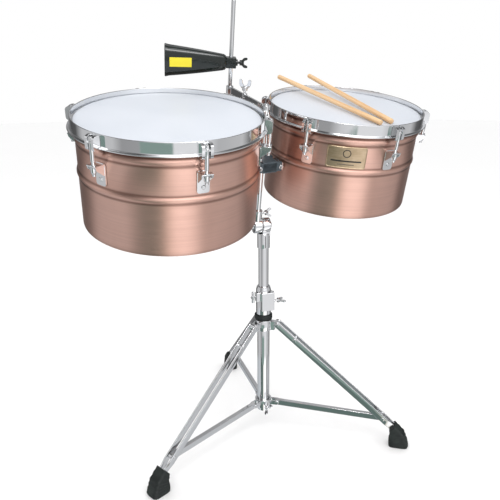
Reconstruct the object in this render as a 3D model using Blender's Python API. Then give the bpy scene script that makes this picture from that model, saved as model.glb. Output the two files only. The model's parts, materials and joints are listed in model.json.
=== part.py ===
"""Timbales: two copper-plated drums, a cowbell and a folding tripod stand, one object per piece.

Metres, +Z up. It is built with the stand's tube on the Z axis and the feet on Z = 0, and then moved
so that the origin is under its middle. The player's side is +Y and the audience's side is -Y.
Everything above the tilter leans towards the audience with it, so those pieces are built upright in
POST_FRAME, whose Z axis is the post.
"""

import math

import bmesh
import bpy
from mathutils import Matrix, Vector

INCH = 0.0254
FIT = 0.0003  # gap between two pieces that touch
WELD = 2e-5
COARSE = 12
FINE = 24
ROUND = 60

# Drums: the head sizes that the instrument is sold by.
LEFT_HEAD = 15 * INCH
RIGHT_HEAD = 14 * INCH
LEFT_DEPTH = 0.2310
RIGHT_DEPTH = 0.2185
HOOP_HEIGHT = 0.0262
HOOP_OVER_HEAD = 0.010
SHELL_INSET = 0.003  # shell radius under the head's nominal radius
SHELL_WALL = 0.0016
HOOP_WALL = 0.0023
HOOP_OUT = 0.0045  # band's outer radius over the head's nominal radius
FLANGE_OUT = 0.0105
FLANGE_THICK = 0.0022
UPPER_BEAD = 0.0410  # under the rim
LOWER_BEAD = 0.494  # share of the drum's depth
BEAD_RISE = 0.0028
BEAD_HALF = 0.0052
LUGS = 6

# Post and tilter: how the drums are carried.
TILTER_Z = 0.565
LEAN = math.radians(13.0)
SWIVEL = math.radians(9.9)
POST_X = -0.017
POST_R = 0.0060
POST_TOP = 0.297
POST_BOTTOM = 0.012
POST_SCREW_Z = 0.0335
LEFT_GAP = 0.0330  # post's axis to the head's nominal edge
RIGHT_GAP = 0.0375
LEFT_RIM = 0.2960
RIGHT_RIM = 0.2851
LEFT_ROLL = math.radians(-0.9)
RIGHT_ROLL = math.radians(0.8)
LEFT_LUG_START = math.radians(-1.5)
RIGHT_LUG_START = math.radians(0.5)
BADGE_TURN = math.radians(-31.5)
HUB_R = 0.0185
BOLT_R = 0.0040

# Block between the drums, and the hinge that carries each one.
BLOCK_HALF = 0.0185
BLOCK_FRONT = -0.040
BLOCK_BACK = 0.012
BLOCK_LOW = 0.1510
BLOCK_HIGH = 0.1766
HINGE_X = 0.0265
HINGE_Y = (BLOCK_FRONT + BLOCK_BACK) / 2
HINGE_Z = (BLOCK_LOW + BLOCK_HIGH) / 2
HINGE_R = 0.0065
EAR_THICK = 0.0075
PIN_R = 0.0030

# Tubes of the stand.
TUBE_R = 0.0159
TUBE_WALL = 0.0015
TUBE_BOTTOM = 0.058
TUBE_TOP = 0.352
MAST_R = 0.0127
MAST_WALL = 0.0015
MAST_BOTTOM = 0.190
MAST_TOP = 0.530
COLLAR_R = 0.0215
CLAMP_R = 0.0190
CLAMP_LOW = 0.3335
CLAMP_HIGH = 0.4080

# Tripod.
LEG_AZIMUTHS = {"left": -151.2, "right": -31.2, "back": 88.8}
PIVOT_R = 0.0370
LEG_PIVOT_Z = 0.308
LEG_DECLINE = math.radians(40.3)
LEG_LENGTH = 0.4180
BRACE_ON_LEG = 0.3620
SPACERS_ON_LEG = (0.060, LEG_LENGTH - 0.012)
SPACER_R = 0.0042
BRACE_PIVOT_Z = 0.0825
BRACE_DEEP = 0.0144
BRACE_WIDE = 0.0110
STRUT_GAP = 0.0155
STRUT_WIDE = 0.0030
STRUT_DEEP = 0.0165
EAR_WIDE = STRUT_GAP - 2 * FIT
EAR_START = 0.0248
FOOT_HALF = 0.0185

# Cowbell and its holder, in POST_FRAME.
HOLDER_LENGTH = 0.185
HOLDER_Z = 0.285
HOLDER_HALF = 0.008
HOLDER_THICK = 0.0056
HOLDER_SCREW_Y = 0.105
ROD_R = 0.00475
ROD_LOW = 0.235
ROD_HIGH = 0.486
BELL_Z = 0.349
BELL_TURN = math.radians(-20.0)
BELL_START = 0.0128
BELL_LENGTH = 0.1440
BELL_MOUTH = (0.0255, 0.0352)
BELL_CROWN = (0.0125, 0.0172)
BELL_WALL = 0.0015

STICK_R = 0.0058

# Colour, roughness and metallic value of each material.
MATERIALS = {
    "copper": ((0.50, 0.25, 0.18, 1.0), 0.34, 1.0),
    "chrome": ((0.80, 0.81, 0.82, 1.0), 0.10, 1.0),
    "head_film": ((0.87, 0.90, 0.94, 1.0), 0.45, 0.0),
    "brass": ((0.66, 0.50, 0.29, 1.0), 0.35, 1.0),
    "black_rubber": ((0.018, 0.018, 0.020, 1.0), 0.70, 0.0),
    "grey_paint": ((0.060, 0.085, 0.100, 1.0), 0.45, 0.0),
    "black_gloss": ((0.012, 0.016, 0.015, 1.0), 0.22, 0.0),
    "hickory": ((0.86, 0.56, 0.27, 1.0), 0.50, 0.0),
}

TILTER_FRAME = Matrix.Translation((0, 0, TILTER_Z)) @ Matrix.Rotation(LEAN, 4, "X")
POST_FRAME = TILTER_FRAME @ Matrix.Translation((POST_X, 0, 0)) @ Matrix.Rotation(SWIVEL, 4, "Z")


def clear_scene():
    for obj in list(bpy.data.objects):
        bpy.data.objects.remove(obj, do_unlink=True)


def new_collection(name):
    collection = bpy.data.collections.new(name)
    bpy.context.scene.collection.children.link(collection)
    return collection


def material(name):
    found = bpy.data.materials.get(name)
    if found:
        return found
    colour, roughness, metallic = MATERIALS[name]
    made = bpy.data.materials.new(name)
    made.use_nodes = True
    made.diffuse_color = colour
    shader = made.node_tree.nodes["Principled BSDF"]
    shader.inputs["Base Color"].default_value = colour
    shader.inputs["Roughness"].default_value = roughness
    shader.inputs["Metallic"].default_value = metallic
    return made


def place(name, shape, finish, frame=Matrix(), smooth=30):
    """Turn a bmesh into a named object, with its origin at frame's. smooth is the sharpest
    angle, in degrees, that is shaded smooth."""
    mesh = bpy.data.meshes.new(name)
    bmesh.ops.recalc_face_normals(shape, faces=shape.faces)
    shape.to_mesh(mesh)
    shape.free()
    mesh.shade_smooth()
    mesh.set_sharp_from_angle(angle=math.radians(smooth))
    obj = bpy.data.objects.new(name, mesh)
    obj.data.materials.append(material(finish))
    obj.matrix_world = frame
    PARTS.objects.link(obj)
    return obj


def hang(name, frame, pieces):
    """Parent the pieces of one moving body to an empty on its joint axis."""
    empty = bpy.data.objects.new(name, None)
    empty.matrix_world = frame
    empty.empty_display_size = 0.02
    PARTS.objects.link(empty)
    for piece in pieces:
        world = piece.matrix_world.copy()
        piece.parent = empty
        piece.matrix_parent_inverse = frame.inverted()
        piece.matrix_world = world


# Shapes. Each returns a closed bmesh.


def revolved(outline, segments=FINE):
    """The closed outline of (radius, height) points turned about Z."""
    shape = bmesh.new()
    rings = []
    for radius, height in outline:
        if radius == 0:
            rings.append([shape.verts.new((0, 0, height))] * segments)
            continue
        angles = [math.tau * k / segments for k in range(segments)]
        rings.append([shape.verts.new((radius * math.cos(a), radius * math.sin(a), height)) for a in angles])
    for ring, following in zip(rings, rings[1:] + rings[:1]):
        for k in range(segments):
            corners = dict.fromkeys([ring[k - 1], ring[k], following[k], following[k - 1]])
            if len(corners) > 2:
                shape.faces.new(corners)
    return shape


def cylinder(radius, low, high, segments=FINE):
    return revolved([(0, low), (radius, low), (radius, high), (0, high)], segments)


def ring(inner, outer, low, high, segments=FINE):
    return revolved([(inner, low), (outer, low), (outer, high), (inner, high)], segments)


def prism(outline, low, high):
    """The (x, y) outline from height low to height high."""
    shape = bmesh.new()
    bottom = [shape.verts.new((x, y, low)) for x, y in outline]
    top = [shape.verts.new((x, y, high)) for x, y in outline]
    shape.faces.new(bottom)
    shape.faces.new(top)
    for k in range(len(outline)):
        shape.faces.new([bottom[k - 1], bottom[k], top[k], top[k - 1]])
    return shape


def box(x, y, z):
    """A box from its (low, high) pair along each axis."""
    return prism([(x[0], y[0]), (x[1], y[0]), (x[1], y[1]), (x[0], y[1])], *z)


def moved(shape, matrix):
    bmesh.ops.transform(shape, matrix=matrix, verts=shape.verts)
    return shape


def shifted(shape, x=0.0, y=0.0, z=0.0):
    return moved(shape, Matrix.Translation((x, y, z)))


def along(axis, shape):
    """Turn a shape built along Z to run along another axis."""
    turns = {"X": Matrix.Rotation(math.pi / 2, 4, "Y"), "Y": Matrix.Rotation(-math.pi / 2, 4, "X")}
    return moved(shape, turns[axis])


def side_prism(outline, half):
    """The (x, z) outline, from y = -half to y = half."""
    return moved(prism(outline, -half, half), Matrix.Rotation(math.pi / 2, 4, "X"))


def stadium(start, end, radius, steps=8):
    """The outline of a bar along x with round ends, from the centre of one to that of the other."""
    angles = [math.pi * k / steps for k in range(steps + 1)]
    right = [(end + radius * math.sin(a), -radius * math.cos(a)) for a in angles]
    left = [(start - radius * math.sin(a), radius * math.cos(a)) for a in angles]
    return right + left


def helper_object(shape):
    """A hidden object for a Boolean. It takes the bmesh over."""
    mesh = bpy.data.meshes.new("helper")
    bmesh.ops.recalc_face_normals(shape, faces=shape.faces)
    bmesh.ops.triangulate(shape, faces=shape.faces)
    shape.to_mesh(mesh)
    shape.free()
    obj = bpy.data.objects.new("helper", mesh)
    CUTTERS.objects.link(obj)
    return obj


def combined(pieces, cutters=()):
    """One closed bmesh: the pieces joined, less the cutters."""
    result, *others = [*pieces, *cutters]
    for index, shape in enumerate(others, start=1):
        base = helper_object(result)
        other = helper_object(shape)
        modifier = base.modifiers.new("join_or_cut", "BOOLEAN")
        modifier.object = other
        modifier.operation = "UNION" if index < len(pieces) else "DIFFERENCE"
        modifier.solver = "EXACT"
        graph = bpy.context.evaluated_depsgraph_get()
        mesh = bpy.data.meshes.new_from_object(base.evaluated_get(graph))
        result = bmesh.new()
        result.from_mesh(mesh)
        bmesh.ops.remove_doubles(result, verts=result.verts, dist=WELD)
        bpy.data.objects.remove(base, do_unlink=True)
        bpy.data.objects.remove(other, do_unlink=True)
    bmesh.ops.dissolve_limit(
        result, angle_limit=math.radians(0.2), verts=result.verts, edges=result.edges
    )
    return result


def wing_screw(shaft_r, shaft_low, shaft_high, span, rise):
    """A screw along Z whose two wings stand up and out from the top of its shaft."""
    half = span / 2
    root = shaft_r * 1.7
    outline = [
        (-root, 0),
        (root, 0),
        (root * 1.3, rise * 0.22),
        (half, rise * 0.62),
        (half, rise),
        (half * 0.62, rise),
        (0, rise * 0.42),
        (-half * 0.62, rise),
        (-half, rise),
        (-half, rise * 0.62),
        (-root * 1.3, rise * 0.22),
    ]
    wings = shifted(side_prism(outline, shaft_r * 0.8), z=shaft_high)
    shaft = cylinder(shaft_r, shaft_low, shaft_high + rise * 0.15, COARSE)
    hub = cylinder(root * 1.25, shaft_high - rise * 0.12, shaft_high + rise * 0.24, COARSE)
    return combined([wings, shaft, hub])


# Drums.


def bead_outline(radius, depth, steps=4):
    """The points of one raised bead, going down the shell."""
    points = []
    for k in range(steps + 1):
        angle = math.pi * k / steps
        points.append((radius + BEAD_RISE * math.sin(angle), -depth + BEAD_HALF * math.cos(angle)))
    return points


def bead_depths(drum_depth):
    return UPPER_BEAD, LOWER_BEAD * drum_depth


def shell(head, depth):
    """A drum shell with two raised beads, a turned-in bearing edge and a turned-in foot."""
    radius = head / 2 - SHELL_INSET
    foot = -depth
    top = -HOOP_OVER_HEAD - 0.0009
    turn_in = 0.0030
    outer = [(radius - turn_in, top), (radius - 0.0006, top - 0.0004), (radius, top - 0.0020)]
    for bead in bead_depths(depth):
        outer += bead_outline(radius, bead)
    outer += [(radius, foot + 0.0022), (radius - 0.0008, foot), (radius - 0.0048, foot)]
    inner = [(radius - 0.0048, foot + SHELL_WALL), (radius - SHELL_WALL, foot + 0.0030)]
    inner += [(radius - SHELL_WALL, top - 0.0022), (radius - turn_in, top - 0.0016)]
    return revolved(outer + inner, ROUND)


def hoop(head):
    """The counterhoop: an upright band, a flange out at its foot and a ledge on the flesh hoop."""
    nominal = head / 2
    out = nominal + HOOP_OUT
    bore = out - HOOP_WALL
    ledge = nominal - SHELL_INSET + 0.0016
    foot = -HOOP_HEIGHT
    flange = nominal + FLANGE_OUT
    outline = [
        (bore, -0.0006),
        (bore + 0.0006, 0),
        (out - 0.0006, 0),
        (out, -0.0006),
        (out, foot + FLANGE_THICK),
        (flange, foot + FLANGE_THICK),
        (flange, foot),
        (bore, foot),
        (bore, -0.0150),
        (ledge, -0.0150),
        (ledge, -0.0132),
        (bore, -0.0132),
    ]
    return revolved(outline, ROUND)


def head_skin(head):
    """A plastic head: its film, the collar over the bearing edge, and the flesh hoop round it."""
    shell_r = head / 2 - SHELL_INSET
    film = 0.0006
    collar_in = shell_r + FIT
    collar_out = collar_in + film
    flesh_out = head / 2 + HOOP_OUT - HOOP_WALL - FIT
    top = -HOOP_OVER_HEAD
    flesh_top = -0.0150 - FIT
    flesh_foot = flesh_top - 0.0060
    outline = [
        (0, top),
        (collar_out - 0.0012, top),
        (collar_out, top - 0.0012),
        (collar_out, flesh_top),
        (flesh_out, flesh_top),
        (flesh_out, flesh_foot),
        (collar_in, flesh_foot),
        (collar_in, top - 0.0013),
        (collar_in - 0.0010, top - film),
        (0, top - film),
    ]
    return revolved(outline, ROUND)


def lug(head):
    """One tuning lug, facing -Y: shell bracket, tension rod, round nut, and the claw on the hoop."""
    nominal = head / 2
    wall = nominal - SHELL_INSET
    rod_y = -(nominal + 0.0152)
    tab_z = -0.0590
    plate = box((-0.0120, 0.0120), (-wall - 0.0030, -wall - 0.0005), (-0.1000, -0.0550))
    tab = box((-0.0085, 0.0085), (rod_y - 0.0070, -wall - 0.0010), (tab_z - 0.0015, tab_z + 0.0015))
    rod = shifted(cylinder(PIN_R, -0.0690, -0.0070, COARSE), y=rod_y)
    nut = shifted(cylinder(0.0056, -0.0710, tab_z - 0.0008, COARSE), y=rod_y)
    screw = along("Y", cylinder(0.0042, 0, 0.0025, COARSE))
    screw = shifted(screw, y=-wall - 0.0048, z=-0.0860)
    over_flange = -HOOP_HEIGHT + FLANGE_THICK + FIT
    claw_side = [
        (-nominal - HOOP_OUT - FIT, over_flange),
        (-nominal - HOOP_OUT - FIT, -0.0050),
        (-nominal - 0.0110, -0.0026),
        (-nominal - 0.0200, -0.0060),
        (-nominal - 0.0200, -0.0290),
        (-nominal - FLANGE_OUT - FIT, -0.0290),
        (-nominal - FLANGE_OUT - FIT, over_flange),
    ]
    claw = moved(prism(claw_side, -0.0110, 0.0110), Matrix(((0, 0, 1, 0), (1, 0, 0, 0), (0, 1, 0, 0), (0, 0, 0, 1))))
    slot = box((-0.0048, 0.0048), (-nominal - 0.03, -nominal), (-0.04, -0.0100))
    return combined([combined([claw], [slot]), plate, tab, rod, nut, screw])


def badge(head, depth):
    """A thin name plate curved to the shell, between the beads."""
    wall = head / 2 - SHELL_INSET + 0.0004
    half_turn = 0.0437 / wall
    steps = 8
    angles = [-half_turn + 2 * half_turn * k / steps for k in range(steps + 1)]
    inner = [(wall * math.sin(a), -wall * math.cos(a)) for a in angles]
    outer = [((wall + 0.0012) * math.sin(a), -(wall + 0.0012) * math.cos(a)) for a in reversed(angles)]
    middle = -sum(bead_depths(depth)) / 2
    return prism(inner + outer, middle - 0.0245, middle + 0.0245)


def hinge_frame(side, roll):
    at = Matrix.Translation((side * HINGE_X, HINGE_Y, HINGE_Z))
    return POST_FRAME @ at @ Matrix.Rotation(roll, 4, "Y")


def drum_bracket(side, frame, drum, head):
    """The plate on the shell and the knuckle that turns between the block's ears."""
    centre = (frame.inverted() @ drum).translation
    reach = abs(centre.x) - head / 2 + SHELL_INSET - 0.0005
    half = (BLOCK_BACK - BLOCK_FRONT) / 2 - EAR_THICK - FIT
    knuckle = along("Y", cylinder(HINGE_R, -half, half, FINE))
    web = box(sorted((side * 0.002, side * (reach - 0.001))), (-half, half), (-0.0045, 0.0045))
    plate = box(sorted((side * (reach - 0.0030), side * reach)), (-half, half), (-0.0125, 0.0060))
    bore = along("Y", cylinder(PIN_R + FIT, -half - 0.01, half + 0.01, FINE))
    return combined([knuckle, web, plate], [bore])


def drum(side_name, side, head, depth, gap, rim, roll, lug_start):
    """One drum with everything that tilts with it, and its bracket."""
    across = Matrix.Translation((side * (head / 2 + gap), 0, rim))
    frame = POST_FRAME @ across @ Matrix.Rotation(roll, 4, "Y")
    hinge = hinge_frame(side, roll)
    pieces = [
        place(f"{side_name}_shell", shell(head, depth), "copper", frame, 40),
        place(f"{side_name}_hoop", hoop(head), "chrome", frame),
        place(f"{side_name}_head", head_skin(head), "head_film", frame),
        place(f"{side_name}_bracket", drum_bracket(side, hinge, frame, head), "chrome", hinge),
    ]
    for k in range(LUGS):
        turn = Matrix.Rotation(lug_start + math.tau * k / LUGS, 4, "Z")
        pieces.append(place(f"{side_name}_lug_{k + 1}", lug(head), "chrome", frame @ turn))
    return frame, hinge, pieces


def stick(butt, tip):
    """A plain round stick between two (x, y) points of the drum, on its hoop and its head."""
    rise = HOOP_OVER_HEAD / (RIGHT_HEAD / 2 - tip[1])
    low = STICK_R + 0.0006 - HOOP_OVER_HEAD
    start = Vector((*tip, low))
    end = Vector((*butt, low + rise * (butt[1] - tip[1])))
    length = (end - start).length
    nose = STICK_R * 0.35
    outline = [
        (0, 0),
        (STICK_R * 0.7, 0),
        (STICK_R, nose),
        (STICK_R, length - nose),
        (STICK_R * 0.7, length),
        (0, length),
    ]
    turn = (end - start).to_track_quat("Z", "Y").to_matrix().to_4x4()
    return revolved(outline, 16), Matrix.Translation(start) @ turn


# Carrier: tilter, post and the block between the drums.


def tilter_base():
    """The ferrule on the mast's top, with the fixed half of the tilter's hub."""
    ferrule = cylinder(MAST_R + 0.0028, 0.508, 0.5458, FINE)
    socket = cylinder(MAST_R + FIT, 0.500, MAST_TOP + FIT, FINE)
    neck = box((-0.0056, 0.0138), (-0.0110, 0.0110), (0.540, TILTER_Z))
    hub = shifted(along("X", cylinder(HUB_R, -0.0058, 0.0140, FINE)), z=TILTER_Z)
    bore = shifted(along("X", cylinder(BOLT_R + FIT, -0.03, 0.03, FINE)), z=TILTER_Z)
    return combined([ferrule, neck, hub], [socket, bore])


def tilter_head():
    """The moving half of the hub, with the socket that holds the post. Built in TILTER_FRAME."""
    hub = along("X", cylinder(HUB_R, -0.0262, -0.0061, FINE))
    socket = shifted(cylinder(0.0105, 0.004, 0.042, FINE), x=POST_X)
    bolt_bore = along("X", cylinder(BOLT_R + FIT, -0.04, 0.01, FINE))
    post_bore = shifted(cylinder(POST_R + FIT, POST_BOTTOM - FIT, 0.06, FINE), x=POST_X)
    screw_bore = shifted(along("X", cylinder(PIN_R + FIT, POST_X, 0.01, COARSE)), z=POST_SCREW_Z)
    return combined([hub, socket], [bolt_bore, post_bore, screw_bore])


def tilter_bolt():
    """The bolt through both halves of the hub: wings at -X, and a plain head at +X."""
    screw = wing_screw(BOLT_R, -0.0185, 0.0297, 0.030, 0.014)
    screw = moved(screw, Matrix.Rotation(-math.pi / 2, 4, "Y"))
    cap = along("X", cylinder(0.0082, 0.0143, 0.0190, 6))
    return combined([screw, cap])


def mount_block():
    """The block clamped on the post, with a fork at each side for a drum's bracket."""
    body = box((-BLOCK_HALF, BLOCK_HALF), (BLOCK_FRONT, BLOCK_BACK), (BLOCK_LOW, BLOCK_HIGH))
    reach = HINGE_X + 0.0050
    pieces = [body]
    for y in (BLOCK_FRONT, BLOCK_BACK - EAR_THICK):
        ear = box((-reach, reach), (y, y + EAR_THICK), (BLOCK_LOW + 0.002, BLOCK_HIGH - 0.002))
        pieces.append(ear)
    cutters = [cylinder(POST_R + FIT, 0.1, 0.2, FINE)]
    for side in (-1, 1):
        bore = along("Y", cylinder(PIN_R + FIT, -0.06, 0.04, FINE))
        cutters.append(shifted(bore, x=side * HINGE_X, z=HINGE_Z))
    return combined(pieces, cutters)


def hinge_bolt():
    """A drum's hinge bolt along Y, with its hexagon head in front and its nut behind."""
    shaft = along("Y", cylinder(PIN_R, BLOCK_FRONT - 0.002, BLOCK_BACK + 0.006, COARSE))
    cap = along("Y", cylinder(0.0058, BLOCK_FRONT - 0.0045, BLOCK_FRONT - FIT, 6))
    nut = along("Y", cylinder(0.0056, BLOCK_BACK + FIT, BLOCK_BACK + 0.0050, 6))
    return combined([shaft, cap, nut])


def carrier():
    post = place("post", cylinder(POST_R, POST_BOTTOM, POST_TOP, FINE), "chrome", POST_FRAME)
    head = place("tilter_head", tilter_head(), "chrome", TILTER_FRAME)
    screw_turn = Matrix.Rotation(math.pi / 2, 4, "Y")
    screw_at = TILTER_FRAME @ Matrix.Translation((POST_X, 0, POST_SCREW_Z)) @ screw_turn
    screw = place("post_wing_screw", wing_screw(PIN_R, POST_R + FIT, 0.0200, 0.022, 0.014), "chrome", screw_at)
    block = place("mount_block", mount_block(), "grey_paint", POST_FRAME)
    bolts = []
    for name, side in (("left", -1), ("right", 1)):
        at = POST_FRAME @ Matrix.Translation((side * HINGE_X, 0, HINGE_Z))
        bolts.append(place(f"{name}_hinge_bolt", hinge_bolt(), "chrome", at))
    bolt = place("tilter_wing_bolt", tilter_bolt(), "chrome", Matrix.Translation((0, 0, TILTER_Z)))
    hang("tilter_joint", TILTER_FRAME, [head])
    hang("tilter_bolt_joint", Matrix.Translation((0, 0, TILTER_Z)), [bolt])
    hang("post_screw_joint", screw_at, [screw])
    hang("post_joint", POST_FRAME, [post])
    hang("block_joint", POST_FRAME, [block, *bolts])


# Cowbell.


def holder_bar():
    """The flat bar from the post back to the cowbell's rod, with a boss at each hole."""
    low = HOLDER_Z - HOLDER_HALF
    high = HOLDER_Z + HOLDER_HALF
    half = HOLDER_THICK / 2
    bar = box((-half, half), (0, HOLDER_LENGTH), (low, high))
    post_boss = cylinder(POST_R + 0.0040, low - 0.001, high + 0.001, FINE)
    rod_boss = shifted(cylinder(ROD_R + 0.0038, low - 0.001, high + 0.001, FINE), y=HOLDER_LENGTH)
    screw_boss = shifted(cylinder(0.0062, low + 0.001, high + 0.0016, FINE), y=HOLDER_SCREW_Y)
    post_bore = cylinder(POST_R + FIT, low - 0.01, high + 0.01, FINE)
    rod_bore = shifted(cylinder(ROD_R + FIT, low - 0.01, high + 0.01, FINE), y=HOLDER_LENGTH)
    screw_bore = shifted(cylinder(PIN_R + FIT, HOLDER_Z, high + 0.01, COARSE), y=HOLDER_SCREW_Y)
    return combined([bar, post_boss, rod_boss, screw_boss], [post_bore, rod_bore, screw_bore])


def bell_section(half_y, half_z, steps=8):
    """A rounded rectangle's outline in (y, z), with elliptical flats between its corners."""
    points = []
    power = 0.55
    for k in range(4 * steps):
        angle = math.tau * k / (4 * steps)
        c = math.cos(angle)
        s = math.sin(angle)
        points.append(
            (half_y * math.copysign(abs(c) ** power, c), half_z * math.copysign(abs(s) ** power, s))
        )
    return points


def cowbell():
    """A hollow bell along -X, closed at its crown and open at its mouth."""
    mouth = -BELL_START - BELL_LENGTH
    crown = -BELL_START
    shoulder = crown - 0.004
    round_over = 0.003
    outer = [(mouth, 0), (shoulder, 0), (crown, -round_over)]
    inner = [(crown - BELL_WALL, -round_over - BELL_WALL), (shoulder, -BELL_WALL), (mouth, -BELL_WALL)]
    shape = bmesh.new()
    loops = []
    for x, grow in outer + inner:
        share = (crown - x) / BELL_LENGTH
        half = [c + (m - c) * share + grow for m, c in zip(BELL_MOUTH, BELL_CROWN)]
        loops.append([shape.verts.new((x, y, z)) for y, z in bell_section(*half)])
    outside_crown, inside_crown = loops[2:4]
    for loop, following in zip(loops, loops[1:] + loops[:1]):
        if loop is outside_crown:
            continue
        for k in range(len(loop)):
            shape.faces.new([loop[k - 1], loop[k], following[k], following[k - 1]])
    shape.faces.new(outside_crown)
    shape.faces.new(inside_crown)
    return shape


def bell_clamp():
    """The block that joins the bell's crown to the rod."""
    body = box((-BELL_START + FIT, 0.0120), (-0.0095, 0.0095), (-0.0125, 0.0125))
    boss = along("X", cylinder(0.0075, 0.010, 0.0160, FINE))
    rod_bore = cylinder(ROD_R + FIT, -0.03, 0.03, FINE)
    screw_bore = along("X", cylinder(PIN_R + FIT, 0, 0.03, COARSE))
    return combined([body, boss], [rod_bore, screw_bore])


def cowbell_group():
    bar = place("holder_bar", holder_bar(), "chrome", POST_FRAME)
    screw_at = POST_FRAME @ Matrix.Translation((0, HOLDER_SCREW_Y, HOLDER_Z))
    screw = wing_screw(PIN_R, FIT, HOLDER_HALF + 0.011, 0.028, 0.022)
    holder_screw = place("holder_wing_screw", screw, "chrome", screw_at)
    rod_at = POST_FRAME @ Matrix.Translation((0, HOLDER_LENGTH, 0))
    rod = place("cowbell_rod", cylinder(ROD_R, ROD_LOW, ROD_HIGH, FINE), "chrome", rod_at)
    bell_at = rod_at @ Matrix.Translation((0, 0, BELL_Z)) @ Matrix.Rotation(BELL_TURN, 4, "Z")
    bell = place("cowbell", cowbell(), "black_gloss", bell_at, 50)
    clamp = place("cowbell_clamp", bell_clamp(), "black_gloss", bell_at)
    bell_screw_at = bell_at @ Matrix.Rotation(math.pi / 2, 4, "Y")
    screw = wing_screw(PIN_R, ROD_R + FIT, 0.0230, 0.024, 0.017)
    bell_screw = place("cowbell_wing_screw", screw, "black_gloss", bell_screw_at)
    hang("holder_joint", POST_FRAME, [bar])
    hang("holder_screw_joint", screw_at, [holder_screw])
    hang("rod_joint", rod_at, [rod])
    hang("bell_joint", bell_at, [bell, clamp])
    hang("bell_screw_joint", bell_screw_at, [bell_screw])


# Stand.


def spoke_frame(azimuth, radius, height):
    """X points outwards from the tube at the azimuth, in degrees."""
    return Matrix.Rotation(math.radians(azimuth), 4, "Z") @ Matrix.Translation((radius, 0, height))


def leg_collar():
    """The collar round the tube with an ear for each leg."""
    low = 0.2900
    high = 0.3180
    pieces = [ring(TUBE_R + FIT, COLLAR_R, low, high, 36)]
    cutters = []
    for azimuth in LEG_AZIMUTHS.values():
        spoke = spoke_frame(azimuth, 0, LEG_PIVOT_Z)
        ear = side_prism(stadium(EAR_START, PIVOT_R, 0.0062, 6), EAR_WIDE / 2)
        root = box((0.0185, 0.0300), (0.0006 - EAR_WIDE / 2, EAR_WIDE / 2 - 0.0006), (-0.0170, 0.0))
        bore = shifted(along("Y", cylinder(PIN_R + FIT, -0.02, 0.02, COARSE)), x=PIVOT_R)
        pieces += [moved(ear, spoke), moved(root, spoke)]
        cutters.append(moved(bore, spoke))
    return combined(pieces, cutters)


def brace_collar():
    """The sliding collar with a fork and a pin for each brace."""
    low = BRACE_PIVOT_Z - 0.0150
    high = BRACE_PIVOT_Z + 0.0080
    screw_bore = moved(cylinder(PIN_R + FIT, 0.0, 0.05, COARSE), collar_screw_frame())
    pieces = [combined([ring(TUBE_R + FIT, COLLAR_R, low, high, 36)], [screw_bore])]
    inner = BRACE_WIDE / 2 + 2 * FIT
    for azimuth in LEG_AZIMUTHS.values():
        spoke = spoke_frame(azimuth, 0, BRACE_PIVOT_Z)
        for side in (-1, 1):
            ear = side_prism(stadium(EAR_START, PIVOT_R, 0.0060, 6), 0.0014)
            pieces.append(moved(shifted(ear, y=side * (inner + 0.0014)), spoke))
        pin = shifted(along("Y", cylinder(PIN_R, -inner - 0.0036, inner + 0.0036, COARSE)), x=PIVOT_R)
        pieces.append(moved(pin, spoke))
    return combined(pieces)


def collar_screw_frame():
    """The collar's wing screw points out between the two front legs."""
    between = (LEG_AZIMUTHS["left"] + LEG_AZIMUTHS["right"]) / 2
    outwards = Matrix.Rotation(math.pi / 2, 4, "Y") @ Matrix.Rotation(math.radians(-35), 4, "Z")
    return spoke_frame(between, 0, BRACE_PIVOT_Z - 0.0050) @ outwards


def leg():
    """Two flat struts along X from the pivot, with their pivot pin and the spacers between them."""
    inner = STRUT_GAP / 2
    outer = inner + STRUT_WIDE
    pieces = []
    for side in (-1, 1):
        strut = side_prism(stadium(0, LEG_LENGTH - STRUT_DEEP / 2, STRUT_DEEP / 2, 6), STRUT_WIDE / 2)
        pieces.append(shifted(strut, y=side * (inner + outer) / 2))
    rivet_end = outer + 0.0012
    for x in (0, *SPACERS_ON_LEG):
        pin = along("Y", cylinder(SPACER_R if x else PIN_R, -rivet_end, rivet_end, COARSE))
        pieces.append(shifted(pin, x=x))
    for side in (-1, 1):
        rivet = along("Y", cylinder(SPACER_R, outer - 0.002, rivet_end, COARSE))
        turned = rivet if side > 0 else moved(rivet, Matrix.Rotation(math.pi, 4, "Z"))
        pieces.append(shifted(turned, x=BRACE_ON_LEG))
    return combined(pieces)


def foot(leg_in_spoke):
    """A rubber boot with a flat sole, and a pocket that the leg's end stands in."""
    end = leg_in_spoke @ Vector((LEG_LENGTH, 0, 0))
    up = (leg_in_spoke.to_3x3() @ Vector((-1, 0, 0))).normalized()
    across = (leg_in_spoke.to_3x3() @ Vector((0, 0, 1))).normalized()
    top = end + up * 0.022
    outline = [
        (end.x - 0.0245, 0),
        (end.x + 0.0235, 0),
        (end.x + 0.0253, 0.0060),
        (end.x + 0.0225, 0.0170),
        (end.x + 0.0140, 0.0388),
        tuple((top + across * 0.0120).xz),
        tuple((top - across * 0.0125).xz),
        (end.x - 0.0165, 0.0270),
        (end.x - 0.0245, 0.0215),
    ]
    inner = STRUT_GAP / 2
    outer = inner + STRUT_WIDE
    reach = (LEG_LENGTH - 0.050, LEG_LENGTH + FIT)
    deep = STRUT_DEEP / 2 + FIT
    pocket = box(reach, (-outer - 0.0015, outer + 0.0015), (-deep, deep))
    return combined([side_prism(outline, FOOT_HALF)], [moved(pocket, leg_in_spoke)])


def brace_reach():
    """Length and decline of a brace, from its pin on the collar to its place on the leg."""
    run = BRACE_ON_LEG * math.cos(LEG_DECLINE)
    drop = LEG_PIVOT_Z - BRACE_ON_LEG * math.sin(LEG_DECLINE) - BRACE_PIVOT_Z
    return math.hypot(run, drop), math.atan2(-drop, run)


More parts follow.
